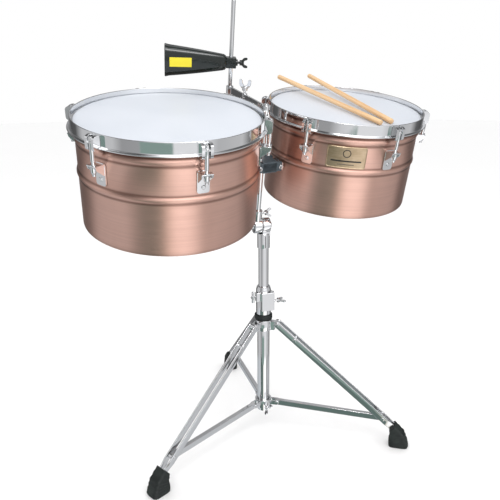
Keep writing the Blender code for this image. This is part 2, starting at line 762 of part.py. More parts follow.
def brace():
    """A flat bar along X from its bored end on the collar's pin to its eye between the struts."""
    length, _ = brace_reach()
    bar = side_prism(stadium(0, length, BRACE_DEEP / 2, 6), BRACE_WIDE / 2)
    bore = along("Y", cylinder(PIN_R + FIT, -0.02, 0.02, COARSE))
    return combined([bar], [bore])


def height_clamp():
    """The hinged clamp at the tube's top: it rests on the tube and grips the mast."""
    body = cylinder(CLAMP_R, CLAMP_LOW, CLAMP_HIGH, 36)
    jaw = box((-0.0130, 0.0205), (-0.0265, 0.0), (0.3480, 0.3960))
    hinge = shifted(cylinder(0.0052, 0.3500, 0.3940, COARSE), x=0.0195, y=-0.0100)
    ear = box((-0.0245, -0.0120), (-0.0180, -0.0060), (0.3720, 0.3960))
    tube_bore = cylinder(TUBE_R + FIT, CLAMP_LOW - 0.01, TUBE_TOP + FIT, 36)
    mast_bore = cylinder(MAST_R + FIT, CLAMP_LOW, CLAMP_HIGH + 0.01, 36)
    screw_bore = shifted(along("X", cylinder(PIN_R + FIT, 0.0120, 0.04, COARSE)), y=-0.0185, z=0.3715)
    return combined([body, jaw, hinge, ear], [tube_bore, mast_bore, screw_bore])


def eye_bolt():
    """The clamp's draw bolt: a shank along -X, with a round cross-bar through its eye."""
    shank = along("X", cylinder(PIN_R, -0.0125, -FIT, COARSE))
    bar = shifted(cylinder(0.0036, -0.0145, 0.0145, COARSE), x=-0.0072)
    return combined([shank, bar])


def tripod():
    """Legs with their feet, and braces, each hung on its own pivot."""
    _, decline = brace_reach()
    leg_turn = Matrix.Rotation(LEG_DECLINE, 4, "Y")
    leg_in_spoke = Matrix.Translation((PIVOT_R, 0, LEG_PIVOT_Z)) @ leg_turn
    for name, azimuth in LEG_AZIMUTHS.items():
        spoke = spoke_frame(azimuth, 0, 0)
        at = spoke @ leg_in_spoke
        strut_pair = place(f"{name}_leg", leg(), "chrome", at)
        boot = place(f"{name}_foot", foot(leg_in_spoke), "black_rubber", spoke)
        hang(f"{name}_leg_joint", at, [strut_pair, boot])
        brace_at = spoke @ Matrix.Translation((PIVOT_R, 0, BRACE_PIVOT_Z)) @ Matrix.Rotation(decline, 4, "Y")
        bar = place(f"{name}_brace", brace(), "chrome", brace_at)
        hang(f"{name}_brace_joint", brace_at, [bar])


def stand():
    place("outer_tube", ring(TUBE_R - TUBE_WALL, TUBE_R, TUBE_BOTTOM, TUBE_TOP, 36), "chrome")
    place("leg_collar", leg_collar(), "chrome")
    place("collar_ring", ring(TUBE_R + FIT, 0.0225, 0.3193, 0.3332, 36), "black_rubber")
    place("height_clamp", height_clamp(), "chrome")
    place("height_eye_bolt", eye_bolt(), "chrome", Matrix.Translation((-0.0245, -0.0120, 0.3840)))
    level = Matrix.Rotation(math.pi / 2, 4, "Y") @ Matrix.Rotation(math.pi / 2, 4, "Z")
    screw_at = Matrix.Translation((0.0, -0.0185, 0.3715)) @ level
    screw = place("height_wing_bolt", wing_screw(PIN_R, 0.0125, 0.0330, 0.030, 0.016), "chrome", screw_at)
    hang("height_bolt_joint", screw_at, [screw])
    collar = place("brace_collar", brace_collar(), "chrome")
    hang("brace_collar_joint", Matrix.Translation((0, 0, BRACE_PIVOT_Z)), [collar])
    at = collar_screw_frame()
    collar_screw = wing_screw(PIN_R, TUBE_R + FIT, 0.0330, 0.030, 0.016)
    screw = place("collar_wing_screw", collar_screw, "chrome", at)
    hang("collar_screw_joint", at, [screw])
    mast = place("mast", ring(MAST_R - MAST_WALL, MAST_R, MAST_BOTTOM, MAST_TOP, FINE), "chrome")
    base = place("tilter_base", tilter_base(), "chrome")
    hang("mast_joint", Matrix.Translation((0, 0, TILTER_Z)), [mast, base])


def drums():
    left = (LEFT_HEAD, LEFT_DEPTH, LEFT_GAP, LEFT_RIM, LEFT_ROLL, LEFT_LUG_START)
    right = (RIGHT_HEAD, RIGHT_DEPTH, RIGHT_GAP, RIGHT_RIM, RIGHT_ROLL, RIGHT_LUG_START)
    _, hinge, pieces = drum("left", -1, *left)
    hang("left_drum_joint", hinge, pieces)
    frame, hinge, pieces = drum("right", 1, *right)
    plate_at = frame @ Matrix.Rotation(BADGE_TURN, 4, "Z")
    pieces.append(place("badge_plate", badge(RIGHT_HEAD, RIGHT_DEPTH), "brass", plate_at, 40))
    hang("right_drum_joint", hinge, pieces)
    sticks = (((-0.040, 0.250), (-0.012, -0.148)), ((0.056, 0.252), (0.019, -0.146)))
    for k, (butt, tip) in enumerate(sticks):
        shape, at = stick(butt, tip)
        hang(f"stick_{k + 1}_joint", frame @ at, [place(f"stick_{k + 1}", shape, "hickory", frame @ at)])


def centre_on_floor():
    """Put the origin on the floor, under the middle of the whole object."""
    bpy.context.view_layer.update()
    meshes = [obj for obj in PARTS.objects if obj.type == "MESH"]
    points = [obj.matrix_world @ vertex.co for obj in meshes for vertex in obj.data.vertices]
    low = [min(point[axis] for point in points) for axis in range(3)]
    high = [max(point[axis] for point in points) for axis in range(3)]
    shift = Vector((-(low[0] + high[0]) / 2, -(low[1] + high[1]) / 2, -low[2]))
    for obj in PARTS.objects:
        if obj.parent is None:
            obj.matrix_world = Matrix.Translation(shift) @ obj.matrix_world


clear_scene()
PARTS = new_collection("timbales")
CUTTERS = new_collection("cutters")
stand()
tripod()
carrier()
drums()
cowbell_group()
centre_on_floor()
bpy.data.collections.remove(CUTTERS)
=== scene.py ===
"""Looks of the timbales: fine meshes, materials, floor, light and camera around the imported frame."""

import json
import math

import bmesh
import bpy
from mathutils import Matrix, Vector


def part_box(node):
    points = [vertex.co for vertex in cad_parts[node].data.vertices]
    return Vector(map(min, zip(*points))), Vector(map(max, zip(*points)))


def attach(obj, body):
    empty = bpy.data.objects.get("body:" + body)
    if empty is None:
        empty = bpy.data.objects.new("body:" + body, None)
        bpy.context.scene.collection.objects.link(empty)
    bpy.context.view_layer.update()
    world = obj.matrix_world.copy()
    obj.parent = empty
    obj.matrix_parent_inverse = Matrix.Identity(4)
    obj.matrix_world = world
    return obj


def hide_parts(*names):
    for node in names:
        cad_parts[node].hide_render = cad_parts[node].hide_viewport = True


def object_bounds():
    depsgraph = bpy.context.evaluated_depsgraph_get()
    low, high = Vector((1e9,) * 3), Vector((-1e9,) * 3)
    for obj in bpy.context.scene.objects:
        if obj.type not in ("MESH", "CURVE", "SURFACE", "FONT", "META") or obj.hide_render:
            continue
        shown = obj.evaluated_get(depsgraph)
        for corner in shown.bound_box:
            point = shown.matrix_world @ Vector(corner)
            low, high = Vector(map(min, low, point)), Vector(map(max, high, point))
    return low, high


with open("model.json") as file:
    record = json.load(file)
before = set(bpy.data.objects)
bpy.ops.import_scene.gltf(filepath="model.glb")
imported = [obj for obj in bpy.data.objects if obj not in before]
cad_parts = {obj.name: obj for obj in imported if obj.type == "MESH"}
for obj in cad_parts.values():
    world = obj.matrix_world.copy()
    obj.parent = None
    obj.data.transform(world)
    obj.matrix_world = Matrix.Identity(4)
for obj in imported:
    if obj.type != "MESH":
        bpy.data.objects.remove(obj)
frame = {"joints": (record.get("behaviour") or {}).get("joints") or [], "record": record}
CAD_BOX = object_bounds()

BODY_OF = {
    node: body for body, members in frame["record"]["behaviour"]["bodies"].items() for node in members
}
JOINTS = {joint["name"]: joint for joint in frame["joints"]}

INCH = 0.0254
UP = Vector((0, 0, 1))
FINE = 32
ROUND = 192
THREAD_PITCH = 0.0012

# Drums.
HEADS = {"left": 15 * INCH, "right": 14 * INCH}
SIDES = {"left": -1, "right": 1}
RIMS = {"left": 0.296, "right": 0.2851}
ROLLS = {"left": math.radians(-0.9), "right": math.radians(0.8)}
LUG_STARTS = {"left": math.radians(-1.5), "right": math.radians(0.5)}
LUGS = 6
GAPS = {"left": 0.033, "right": 0.0375}
DEPTHS = {"left": 0.231, "right": 0.2185}
BADGE_SIDE = "right"
BADGE_TURN = math.radians(-31.5)
PLATE_HALF_WIDE = 0.0437
PLATE_HALF_TALL = 0.0245
PLATE_BACK = 0.0003
PLATE_FACE = 0.0014
SHELL_INSET = 0.003
SHELL_WALL = 0.0016
BEADS = {side: (0.041, 0.494 * depth) for side, depth in DEPTHS.items()}
BADGE_Z = -sum(BEADS[BADGE_SIDE]) / 2
BADGE_WALL = HEADS[BADGE_SIDE] / 2 - SHELL_INSET
BEAD_RISE = 0.0028
BEAD_HALF = 0.0075
HOOP_HEIGHT = 0.0262
HOOP_OVER_HEAD = 0.01
HOOP_OUT = 0.0045
HOOP_WALL = 0.0023
FLANGE_OUT = 0.0105
LUG_TAB = 0.0245
LUG_ROD_OUT = 0.0152

# Carrier and cowbell, in the post's frame.
HINGE_X = 0.0265
HINGE_Z = 0.1638
BLOCK_FRONT = -0.04
BLOCK_BACK = 0.012
BLOCK_EAR = 0.0075
HINGE_Y = (BLOCK_FRONT + BLOCK_BACK) / 2
POST_R = 0.006
HOLDER_LENGTH = 0.185
HOLDER_Z = 0.285
HOLDER_SCREW_Y = 0.105
ROD_R = 0.00475
BELL_START = 0.0128
BELL_LENGTH = 0.144
BELL_MOUTH = Vector((0.0255, 0.0352))
BELL_CROWN = Vector((0.0125, 0.0172))
LABEL_SHARES = (0.565, 0.92)
LABEL_HALF_TALL = 0.0105
PIN_R = 0.003
TILTER_X = -0.017
HUB_R = 0.0185

# Stand, heights over the floor.
TUBE_R = 0.0159
MAST_R = 0.0127
COLLAR_R = 0.0215
PIVOT_R = 0.037
LEG_PIVOT_Z = 0.308
LEG_DECLINE = math.radians(40.3)
LEG_LENGTH = 0.418
BRACE_ON_LEG = 0.362
BRACE_PIVOT_Z = 0.0825
BRACE_R = 0.0072
BRACE_HALF = 0.0055
STRUT_GAP = 0.0155
STRUT_WIDE = 0.003
STRUT_DEEP = 0.0165
SPACER_X = 0.06
STICK_R = 0.0058

# Camera. FRONT is the compass bearing that the studio's panels are laid out from.
FRONT = math.radians(-18.9)
CAMERA_OFFSET = Vector((-0.4347, -1.2674, 0.8966))
PITCH = math.radians(16.43)
ROLL = math.radians(-0.35)
YAW = math.radians(17.5)
LENS_MM = 40.575
SENSOR_MM = 36.0


# Places, all read from the frame.


def joint_pos(name):
    return Vector(JOINTS[name]["pos_m"])


def joint_axis(name):
    return Vector(JOINTS[name]["axis"]).normalized()


def frame_of(origin, x, y, z):
    """A matrix from its origin and its axes."""
    turn = Matrix((x, y, z)).transposed()
    return Matrix.Translation(origin) @ turn.to_4x4()


def spin(angle, axis):
    return Matrix.Rotation(angle, 4, axis)


def tube_axis():
    low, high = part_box("outer_tube")
    return Vector(((low.x + high.x) / 2, (low.y + high.y) / 2, 0))


def post_frame():
    z = joint_axis("block_swivel")
    y = joint_axis("right_drum_tilt")
    return frame_of(joint_pos("block_swivel"), y.cross(z), y, z)


def joint_frame(place, x_joint, z_joint):
    """The frame at one joint whose X and Z run along the axes of two joints."""
    x = joint_axis(x_joint)
    z = joint_axis(z_joint)
    return frame_of(joint_pos(place), x, z.cross(x), z)


def spoke_frame(joint):
    """X points outwards from the tube's axis along a leg, and Z is up from the floor."""
    y = joint_axis(joint)
    x = y.cross(UP)
    at = joint_pos(joint) - x * PIVOT_R
    at.z = 0
    return frame_of(at, x, y, UP)


def drum_frame(side):
    across = SIDES[side] * (HEADS[side] / 2 + GAPS[side])
    at = Matrix.Translation((across, 0, RIMS[side]))
    return POST @ at @ spin(ROLLS[side], "Y")


def screw_frame(name):
    """The frame of a wing screw whose shaft runs along its joint's axis."""
    z = joint_axis(name)
    side = UP if abs(z.z) < 0.9 else Vector((0, 1, 0))
    x = (side - z * side.dot(z)).normalized()
    return frame_of(joint_pos(name), x, z.cross(x), z)


TUBE = Matrix.Translation(tube_axis())
POST = post_frame()
TILTER = joint_frame("tilt", "tilt", "block_swivel")
BELL = joint_frame("bell_turn", "bell_screw_turn", "bell_turn")
SPOKES = {side: spoke_frame(f"{side}_leg_fold") for side in ("left", "right", "back")}
DRUMS = {side: drum_frame(side) for side in HEADS}


# Shapes. Each returns a bmesh.


def rounded(corners, steps=4):
    """An outline whose (x, y, reach) corners are rounded over that reach. A reach of 0 stays sharp."""
    points = []
    for before, corner, after in zip(corners[-1:] + corners[:-1], corners, corners[1:] + corners[:1]):
        at = Vector(corner[:2])
        if not corner[2]:
            points.append(tuple(at))
            continue
        back = Vector(before[:2]) - at
        on = Vector(after[:2]) - at
        start = at + back.normalized() * min(corner[2], back.length * 0.49)
        end = at + on.normalized() * min(corner[2], on.length * 0.49)
        for k in range(steps + 1):
            s = k / steps
            points.append(tuple(start * (1 - s) ** 2 + at * 2 * s * (1 - s) + end * s * s))
    return points


def rectangle(x, y, reach=0, steps=4):
    """The outline between the (low, high) pairs x and y, with corners rounded over reach."""
    corners = [(x[0], y[0]), (x[1], y[0]), (x[1], y[1]), (x[0], y[1])]
    return rounded([(*corner, reach) for corner in corners], steps)


def mirrored(corners):
    """The same corners on the other side of x = 0, in the order that closes the outline."""
    return [(-x, y, reach) for x, y, reach in reversed(corners)]


def soft_box(half_u, half_v, power, count):
    """The outline of a rectangle with full corners. A power nearer 0 squares it."""
    points = []
    for k in range(count):
        c = math.cos(math.tau * k / count)
        s = math.sin(math.tau * k / count)
        u = half_u * math.copysign(abs(c) ** power, c)
        v = half_v * math.copysign(abs(s) ** power, s)
        points.append((u, v))
    return points


def revolved(outline, segments=FINE):
    """The closed outline of (radius, height) points turned about Z."""
    shape = bmesh.new()
    rings = []
    for radius, height in outline:
        if radius == 0:
            rings.append([shape.verts.new((0, 0, height))] * segments)
            continue
        angles = [math.tau * k / segments for k in range(segments)]
        rings.append([shape.verts.new((radius * math.cos(a), radius * math.sin(a), height)) for a in angles])
    for ring, following in zip(rings, rings[1:] + rings[:1]):
        for k in range(segments):
            corners = dict.fromkeys([ring[k - 1], ring[k], following[k], following[k - 1]])
            if len(corners) > 2:
                shape.faces.new(corners)
    return shape


def rod(radius, low, high, edge=0.0006, segments=FINE):
    """A solid cylinder along Z with rounded rims."""
    corners = [(0, low, 0), (radius, low, edge), (radius, high, edge), (0, high, 0)]
    return revolved(rounded(corners, 3), segments)


def pipe(inner, outer, low, high, edge=0.0006, segments=FINE * 2):
    return revolved(rectangle((inner, outer), (low, high), edge, 3), segments)


def cap(radius, foot, top, edge, sides=6):
    """A bolt's head along Z, sharp at its foot and rounded at its top."""
    return revolved(rounded([(0, foot, 0), (radius, foot, 0), (radius, top, edge), (0, top, 0)]), sides)


def threaded(radius, low, high):
    """A rod with turned ridges in place of its thread."""
    turns = max(2, round((high - low) / THREAD_PITCH))
    step = (high - low) / turns
    outline = [(0, low)]
    for k in range(turns):
        outline += [(radius * 0.88, low + k * step), (radius, low + (k + 0.5) * step)]
    outline += [(radius * 0.88, high), (0, high)]
    return revolved(outline, 20)


def loft(loops, closed=False):
    """Skin over loops of points. It is capped at both ends, or runs on to its start when closed."""
    shape = bmesh.new()
    rows = [[shape.verts.new(point) for point in loop] for loop in loops]
    for row, following in zip(rows, rows[1:] + rows[:1] if closed else rows[1:]):
        for k in range(len(row)):
            shape.faces.new([row[k - 1], row[k], following[k], following[k - 1]])
    if not closed:
        shape.faces.new(rows[0])
        shape.faces.new(rows[-1])
    return shape


def prism(outline, low, high):
    """The (x, y) outline from height low to height high."""
    return loft([[(x, y, z) for x, y in outline] for z in (low, high)])


def side_prism(outline, low, high):
    """The (x, z) outline, from y = low to y = high."""
    return loft([[(x, y, z) for x, z in outline] for y in (low, high)])


def end_prism(outline, low, high):
    """The (y, z) outline, from x = low to x = high."""
    return loft([[(x, y, z) for y, z in outline] for x in (low, high)])


def slab(x, y, z):
    """A box from its (low, high) pair along each axis."""
    return prism(rectangle(x, y), *z)


def heading(points, k, closed=False):
    """The direction of a line of points at point k."""
    last = len(points) - 1
    before = points[k - 1] if k or closed else points[0]
    after = points[(k + 1) % len(points)] if k < last or closed else points[last]
    return (Vector(after) - Vector(before)).normalized()


def swept(path, radius, sides=10):
    """A round wire along a path that lies in the XZ plane."""
    across = Vector((0, 1, 0))
    angles = [math.tau * side / sides for side in range(sides)]
    loops = []
    for k, at in enumerate(path):
        out = across.cross(heading(path, k))
        loops.append([Vector(at) + radius * (math.cos(a) * out + math.sin(a) * across) for a in angles])
    return loft(loops)


def stadium(start, end, radius, steps=10):
    """The outline of a bar along x with round ends, from the centre of one to that of the other."""
    angles = [math.pi * k / steps for k in range(steps + 1)]
    right = [(end + radius * math.sin(a), -radius * math.cos(a)) for a in angles]
    left = [(start - radius * math.sin(a), radius * math.cos(a)) for a in angles]
    return right + left


def moved(shape, matrix):
    bmesh.ops.transform(shape, matrix=matrix, verts=shape.verts)
    return shape


def shifted(shape, x=0.0, y=0.0, z=0.0):
    return moved(shape, Matrix.Translation((x, y, z)))


def along(axis, shape):
    """Turn a shape built along Z to run along another axis."""
    turns = {"X": spin(math.pi / 2, "Y"), "Y": spin(-math.pi / 2, "X")}
    return moved(shape, turns[axis])


def rivet_heads(radius, low, high, edge, x, z=0.0):
    """Two round heads along Y, from low to high on each side."""
    ends = ((low, high), (-high, -low))
    return [shifted(along("Y", rod(radius, *pair, edge)), x=x, z=z) for pair in ends]


def mesh_of(name, shape):
    mesh = bpy.data.meshes.new(name)
    shape.to_mesh(mesh)
    shape.free()
    return mesh


def joined(*shapes):
    """One bmesh that holds several closed shapes."""
    whole = bmesh.new()
    for shape in shapes:
        mesh = mesh_of("part", shape)
        whole.from_mesh(mesh)
        bpy.data.meshes.remove(mesh)
    return whole


# Materials.


def add_node(tree, kind, inputs=None, **settings):
    """A shader node. Each of its inputs takes a socket to link, or a constant."""
    made = tree.nodes.new("ShaderNode" + kind)
    for key, value in settings.items():
        setattr(made, key, value)
    for key, value in (inputs or {}).items():
        if isinstance(value, bpy.types.NodeSocket):
            tree.links.new(value, made.inputs[key])
        else:
            made.inputs[key].default_value = value
    return made


class Surface:
    """A Principled material with helpers for its texture nodes, which read object coordinates."""

    def __init__(self, name, colour, roughness, metallic=0.0, **constants):
        self.material = bpy.data.materials.new(name)
        self.material.use_nodes = True
        self.material.diffuse_color = (*colour, 1.0)
        self.tree = self.material.node_tree
        self.shader = self.tree.nodes["Principled BSDF"]
        self.shader.inputs["Base Color"].default_value = (*colour, 1.0)
        self.shader.inputs["Roughness"].default_value = roughness
        self.shader.inputs["Metallic"].default_value = metallic
        for socket, value in constants.items():
            self.shader.inputs[socket.replace("_", " ")].default_value = value
        self.place = self.node("TexCoord").outputs["Object"]

    def node(self, kind, inputs=None, **settings):
        return add_node(self.tree, kind, inputs, **settings)

    def noise(self, scale, detail=3.0, rough=0.55):
        """Noise from 0 to 1. scale is one number, or one for each axis."""
        scales = scale if isinstance(scale, tuple) else (scale,) * 3
        place = self.node("Mapping", {"Vector": self.place, "Scale": scales}).outputs[0]
        inputs = {"Vector": place, "Scale": 1.0, "Detail": detail, "Roughness": rough}
        return self.node("TexNoise", inputs).outputs["Fac"]

    def math(self, operation, first, second=0.0):
        return self.node("Math", {0: first, 1: second}, operation=operation).outputs[0]

    def weighted(self, *terms):
        """The sum of (value, weight) terms."""
        total = 0.0
        for value, weight in terms:
            total = self.math("ADD", self.math("MULTIPLY", value, weight), total)
        return total

    def ramp(self, value, low, high, out_low=0.0, out_high=1.0):
        """value from low..high, spread smoothly over out_low..out_high."""
        inputs = {"Value": value, "From Min": low, "From Max": high, "To Min": out_low, "To Max": out_high}
        return self.node("MapRange", inputs, interpolation_type="SMOOTHSTEP").outputs[0]

    def blend(self, share, *ends):
        """A colour between two ends, each a colour or a socket."""
        first, second = (end if isinstance(end, bpy.types.NodeSocket) else (*end, 1.0) for end in ends)
        return self.node("Mix", {0: share, 6: first, 7: second}, data_type="RGBA").outputs[2]

    def set(self, socket, value):
        self.tree.links.new(value, self.shader.inputs[socket])

    def tint(self, share, first, second):
        self.set("Base Color", self.blend(share, first, second))

    def polish(self, value, low, high, smooth, rough):
        """Roughness from smooth to rough as value goes from low to high."""
        self.set("Roughness", self.ramp(value, low, high, smooth, rough))

    def bump(self, height, strength, distance):
        made = self.node("Bump", {"Strength": strength, "Distance": distance, "Height": height})
        self.set("Normal", made.outputs[0])


def copper_surface(side):
    """Antique copper plate brushed round the shell, tarnished dark at the beads, with a painted shadow below
    the hoop, and darker at the foot.
    """
    constants = {"Anisotropic": 0.6, "Anisotropic_Rotation": 0.25}
    made = Surface(f"{side}_copper", (0.66, 0.38, 0.3), 0.34, 1.0, **constants)
    lines = made.noise((5, 5, 1500), 2.0)
    bands = made.noise((1.5, 1.5, 170))
    clouds = made.noise((7, 7, 5), 4.0)
    height = made.node("SeparateXYZ", {0: made.place}).outputs["Z"]
    # painted shadow: the shell is darkened in a band just below the hoop, where the hoop's shade falls.
    painted_hoop_shadow = made.ramp(height, -0.04, -0.026, 0.0, 0.8)
    foot = made.ramp(height, -DEPTHS[side], -DEPTHS[side] + 0.01, 0.5, 0.0)
    # this darkening adds the painted shadow below the hoop, the darker foot and, below, the tarnish at the
    # beads' edges.
    patina_and_painted_shadow = made.math("ADD", painted_hoop_shadow, foot)
    for depth in BEADS[side]:
        near = made.math("ABSOLUTE", made.math("ADD", height, depth))
        edge = made.math("ABSOLUTE", made.math("SUBTRACT", near, BEAD_HALF * 1.05))
        patina_and_painted_shadow = made.math("ADD", made.ramp(edge, 0.0, 0.005, 1.0, 0.0), patina_and_painted_shadow)
    grain = made.weighted((lines, 0.35), (bands, 0.25), (clouds, 0.6))
    share = made.weighted((made.ramp(grain, 0.35, 1.0, 0.0, 0.3), 1.0), (patina_and_painted_shadow, 0.6))
    made.tint(share, (0.88, 0.56, 0.46), (0.17, 0.08, 0.058))
    made.polish(made.math("ADD", lines, bands), 0.5, 1.5, 0.3, 0.44)
    made.bump(lines, 0.12, 0.0002)
    made.set("Tangent", made.node("Tangent", direction_type="RADIAL", axis="Z").outputs[0])
    return made.material


def chrome_surface():
    """Chrome plate, with faint handling marks in its polish."""
    made = Surface("chrome_plate", (0.83, 0.84, 0.85), 0.07, 1.0)
    made.tint(made.noise(14, 2.0), (0.8, 0.815, 0.83), (0.88, 0.88, 0.88))
    made.polish(made.noise(40, 5.0, 0.7), 0.45, 0.75, 0.045, 0.14)
    made.bump(made.noise(60, 1.0), 0.03, 0.0004)
    return made.material


def film_surface():
    """Coated polyester: a fine sprayed texture, and a faint cloudy haze in its tone and polish."""
    made = Surface("coated_film", (0.64, 0.67, 0.72), 0.42)
    haze = made.noise(9, 4.0)
    made.tint(haze, (0.56, 0.595, 0.652), (0.605, 0.628, 0.675))
    made.polish(haze, 0.3, 0.7, 0.36, 0.5)
    made.bump(made.noise(1400, 2.0), 0.1, 0.0002)
    return made.material


def brass_surface():
    made = Surface("brushed_brass", (0.6, 0.47, 0.28), 0.36, 1.0)
    lines = made.noise((60, 60, 2400), 2.0)
    tone = made.weighted((lines, 0.5), (made.noise(45), 0.5))
    made.tint(made.ramp(tone, 0.3, 0.7), (0.46, 0.34, 0.21), (0.7, 0.55, 0.38))
    made.polish(lines, 0.3, 0.7, 0.3, 0.44)
    made.bump(lines, 0.1, 0.0001)
    return made.material


# dark enamel for the badge's marks; the same dark finish is the painted shade in the tilter ferrule's slit.
def enamel_and_slit_shade_surface():
    made = Surface("dark_enamel_and_slit_shade", (0.018, 0.016, 0.014), 0.35)
    flecks = made.noise(300, 2.0)
    made.tint(flecks, (0.012, 0.011, 0.01), (0.028, 0.025, 0.022))
    made.bump(flecks, 0.08, 0.0001)
    return made.material


def rubber_surface():
    made = Surface("moulded_rubber", (0.016, 0.017, 0.018), 0.62)
    dust = made.noise(35, 4.0)
    made.tint(made.ramp(dust, 0.4, 0.8), (0.007, 0.011, 0.01), (0.024, 0.032, 0.029))
    made.polish(dust, 0.3, 0.7, 0.5, 0.74)
    made.bump(made.noise(900), 0.22, 0.0004)
    return made.material


def paint_surface():
    """Dark blue-grey paint on a casting, with a light orange peel."""
    made = Surface("grey_casting_paint", (0.06, 0.085, 0.1), 0.45)
    tone = made.noise(50)
    made.tint(tone, (0.048, 0.07, 0.086), (0.085, 0.112, 0.128))
    made.polish(tone, 0.3, 0.7, 0.36, 0.52)
    made.bump(made.noise(420, 2.0), 0.18, 0.0005)
    return made.material


def gloss_surface():
    """Black baked enamel on the bell and its clamp, with a few scuffs."""
    made = Surface("black_gloss_enamel", (0.004, 0.009, 0.007), 0.12, Coat_Weight=0.3, Coat_Roughness=0.08)
    scuffs = made.noise((30, 260, 260), 4.0, 0.7)
    made.tint(made.ramp(scuffs, 0.5, 0.8), (0.003, 0.007, 0.005), (0.014, 0.022, 0.019))
    made.polish(scuffs, 0.45, 0.75, 0.1, 0.24)
    made.bump(made.noise(160, 2.0), 0.06, 0.0005)
    return made.material


def wood_surface():
    """Light hardwood, with grain along the stick."""
    made = Surface("lacquered_hardwood", (0.82, 0.57, 0.33), 0.45, Coat_Weight=0.15, Coat_Roughness=0.3)
    grain = made.noise((260, 260, 7), 5.0, 0.6)
    pores = made.noise((1500, 1500, 30), 2.0)
    tone = made.weighted((grain, 1.0), (made.noise((20, 20, 5), 2.0), 0.7))
    warm = made.blend(made.ramp(tone, 0.62, 1.1), (0.82, 0.57, 0.33), (0.6, 0.36, 0.17))
    made.tint(made.ramp(pores, 0.62, 0.75, 0.0, 0.5), warm, (0.4, 0.2, 0.08))
    made.polish(grain, 0.3, 0.7, 0.38, 0.55)
    made.bump(pores, 0.15, 0.0002)
    return made.material


def label_surface():
    made = Surface("yellow_label", (0.86, 0.72, 0.03), 0.42)
    ink = made.noise(500, 2.0)
    made.tint(ink, (0.82, 0.68, 0.02), (0.9, 0.77, 0.05))
    made.polish(ink, 0.3, 0.7, 0.36, 0.48)
    return made.material


def floor_surface():
    made = Surface("pale_floor", (0.95, 0.95, 0.95), 0.85)
    made.tint(made.noise(0.6, 2.0), (0.94, 0.94, 0.94), (0.96, 0.96, 0.96))
    return made.material


COPPER = {side: copper_surface(side) for side in HEADS}
CHROME = chrome_surface()
FILM = film_surface()
BRASS = brass_surface()
ENAMEL_AND_SLIT_SHADE = enamel_and_slit_shade_surface()
RUBBER = rubber_surface()
PAINT = paint_surface()
GLOSS = gloss_surface()
WOOD = wood_surface()
LABEL = label_surface()


# Pieces.


def add_object(name, data):
    """A new object in the scene."""
    obj = bpy.data.objects.new(name, data)
    bpy.context.scene.collection.objects.link(obj)
    return obj


def make(name, shape, finish, at, body, bevel=0.0, smooth=38):
    """A named piece that moves with a body. bevel rounds the edges sharper than smooth, in degrees."""
    bmesh.ops.recalc_face_normals(shape, faces=shape.faces)
    mesh = mesh_of(name, shape)
    mesh.shade_smooth()
    mesh.set_sharp_from_angle(angle=math.radians(smooth))
    mesh.materials.append(finish)
    obj = add_object(name, mesh)
    obj.matrix_world = at
    if bevel:
        edges = obj.modifiers.new("edges", "BEVEL")
        edges.width = bevel
        edges.segments = 3
        edges.limit_method = "ANGLE"
        edges.angle_limit = math.radians(smooth)
        edges.harden_normals = True
    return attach(obj, body)


def refined(node, shape, finish, at, bevel=0.0, smooth=38):
    """The fine piece that stands for a CAD node."""
    obj = make(f"{node}_fine", shape, finish, at, BODY_OF[node], bevel, smooth)
    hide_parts(node)
    return obj


# Drums.


def bead(radius, depth, shares):
    """The section of a raised bead. Its shares run from -1 at its upper edge to 1 at its lower one."""
    points = []
    for share in shares:
        rise = BEAD_RISE * math.cos(share * math.pi / 2) ** 1.3
        points.append((radius + rise, -depth - share * BEAD_HALF))
    return points


def shell_shape(side):
    """A drum shell: turned-in edges, and two raised beads with soft shoulders."""
    radius = HEADS[side] / 2 - SHELL_INSET
    top = -HOOP_OVER_HEAD - 0.0009
    foot = -DEPTHS[side]
    steps = 12
    shares = [k / steps for k in range(-steps, steps + 1)]
    outside = [(radius - 0.003, top), (radius - 0.001, top - 0.0002), (radius, top - 0.002)]
    for depth in BEADS[side]:
        outside += bead(radius, depth, shares)
    outside += [(radius, foot + 0.003), (radius - 0.0004, foot + 0.001), (radius - 0.0016, foot)]
    outside += [(radius - 0.006, foot), (radius - 0.006, foot + SHELL_WALL)]
    outside += [(radius - SHELL_WALL - 0.001, foot + SHELL_WALL + 0.0006)]
    inside = []
    for depth in reversed(BEADS[side]):
        inside += bead(radius - SHELL_WALL, depth, shares[::-2])
    inside += [(radius - SHELL_WALL, top - 0.003), (radius - 0.0034, top - 0.0012)]
    return revolved(outside + inside, ROUND)


def hoop_shape(head):
    """The counterhoop: a flat band with a rolled lip at its foot, and the ledge that presses the head."""
    nominal = head / 2
    out = nominal + HOOP_OUT
    bore = out - HOOP_WALL
    foot = -HOOP_HEIGHT
    flange = nominal + FLANGE_OUT
    ledge = nominal - SHELL_INSET + 0.0016
    corners = [
        (bore, 0, 0.001), (out, 0, 0.001), (out, foot + 0.0026, 0.0022),
        (flange, foot + 0.003, 0.0014), (flange, foot, 0.0014), (bore, foot, 0.0005),
        (bore, -0.015, 0.0003), (ledge, -0.015, 0.0004), (ledge, -0.0132, 0.0008),
        (bore, -0.0132, 0.0008),
    ]
    return revolved(rounded(corners, 4), ROUND)


def head_shape(head):
    """The film, drawn over the bearing edge, down its collar and into the flesh hoop."""
    shell_r = head / 2 - SHELL_INSET
    collar = shell_r + 0.0009
    flesh = head / 2 + HOOP_OUT - HOOP_WALL - 0.0003
    top = -HOOP_OVER_HEAD
    flat = [(shell_r * k / 12, top) for k in range(11)]
    curve = [(shell_r - 0.005, top), (shell_r - 0.0015, top - 0.0001), (collar - 0.0008, top - 0.0006)]
    down = [(collar, top - 0.002), (collar, -0.0153), (flesh - 0.001, -0.0153), (flesh, -0.0163)]
    back = [(flesh, -0.0203), (flesh - 0.001, -0.0213), (collar - 0.0006, -0.0213)]
    under = [(collar - 0.0006, top - 0.0016), (shell_r - 0.0015, top - 0.0006), (0, top - 0.0006)]
    return revolved(flat + curve + down + back + under, ROUND)


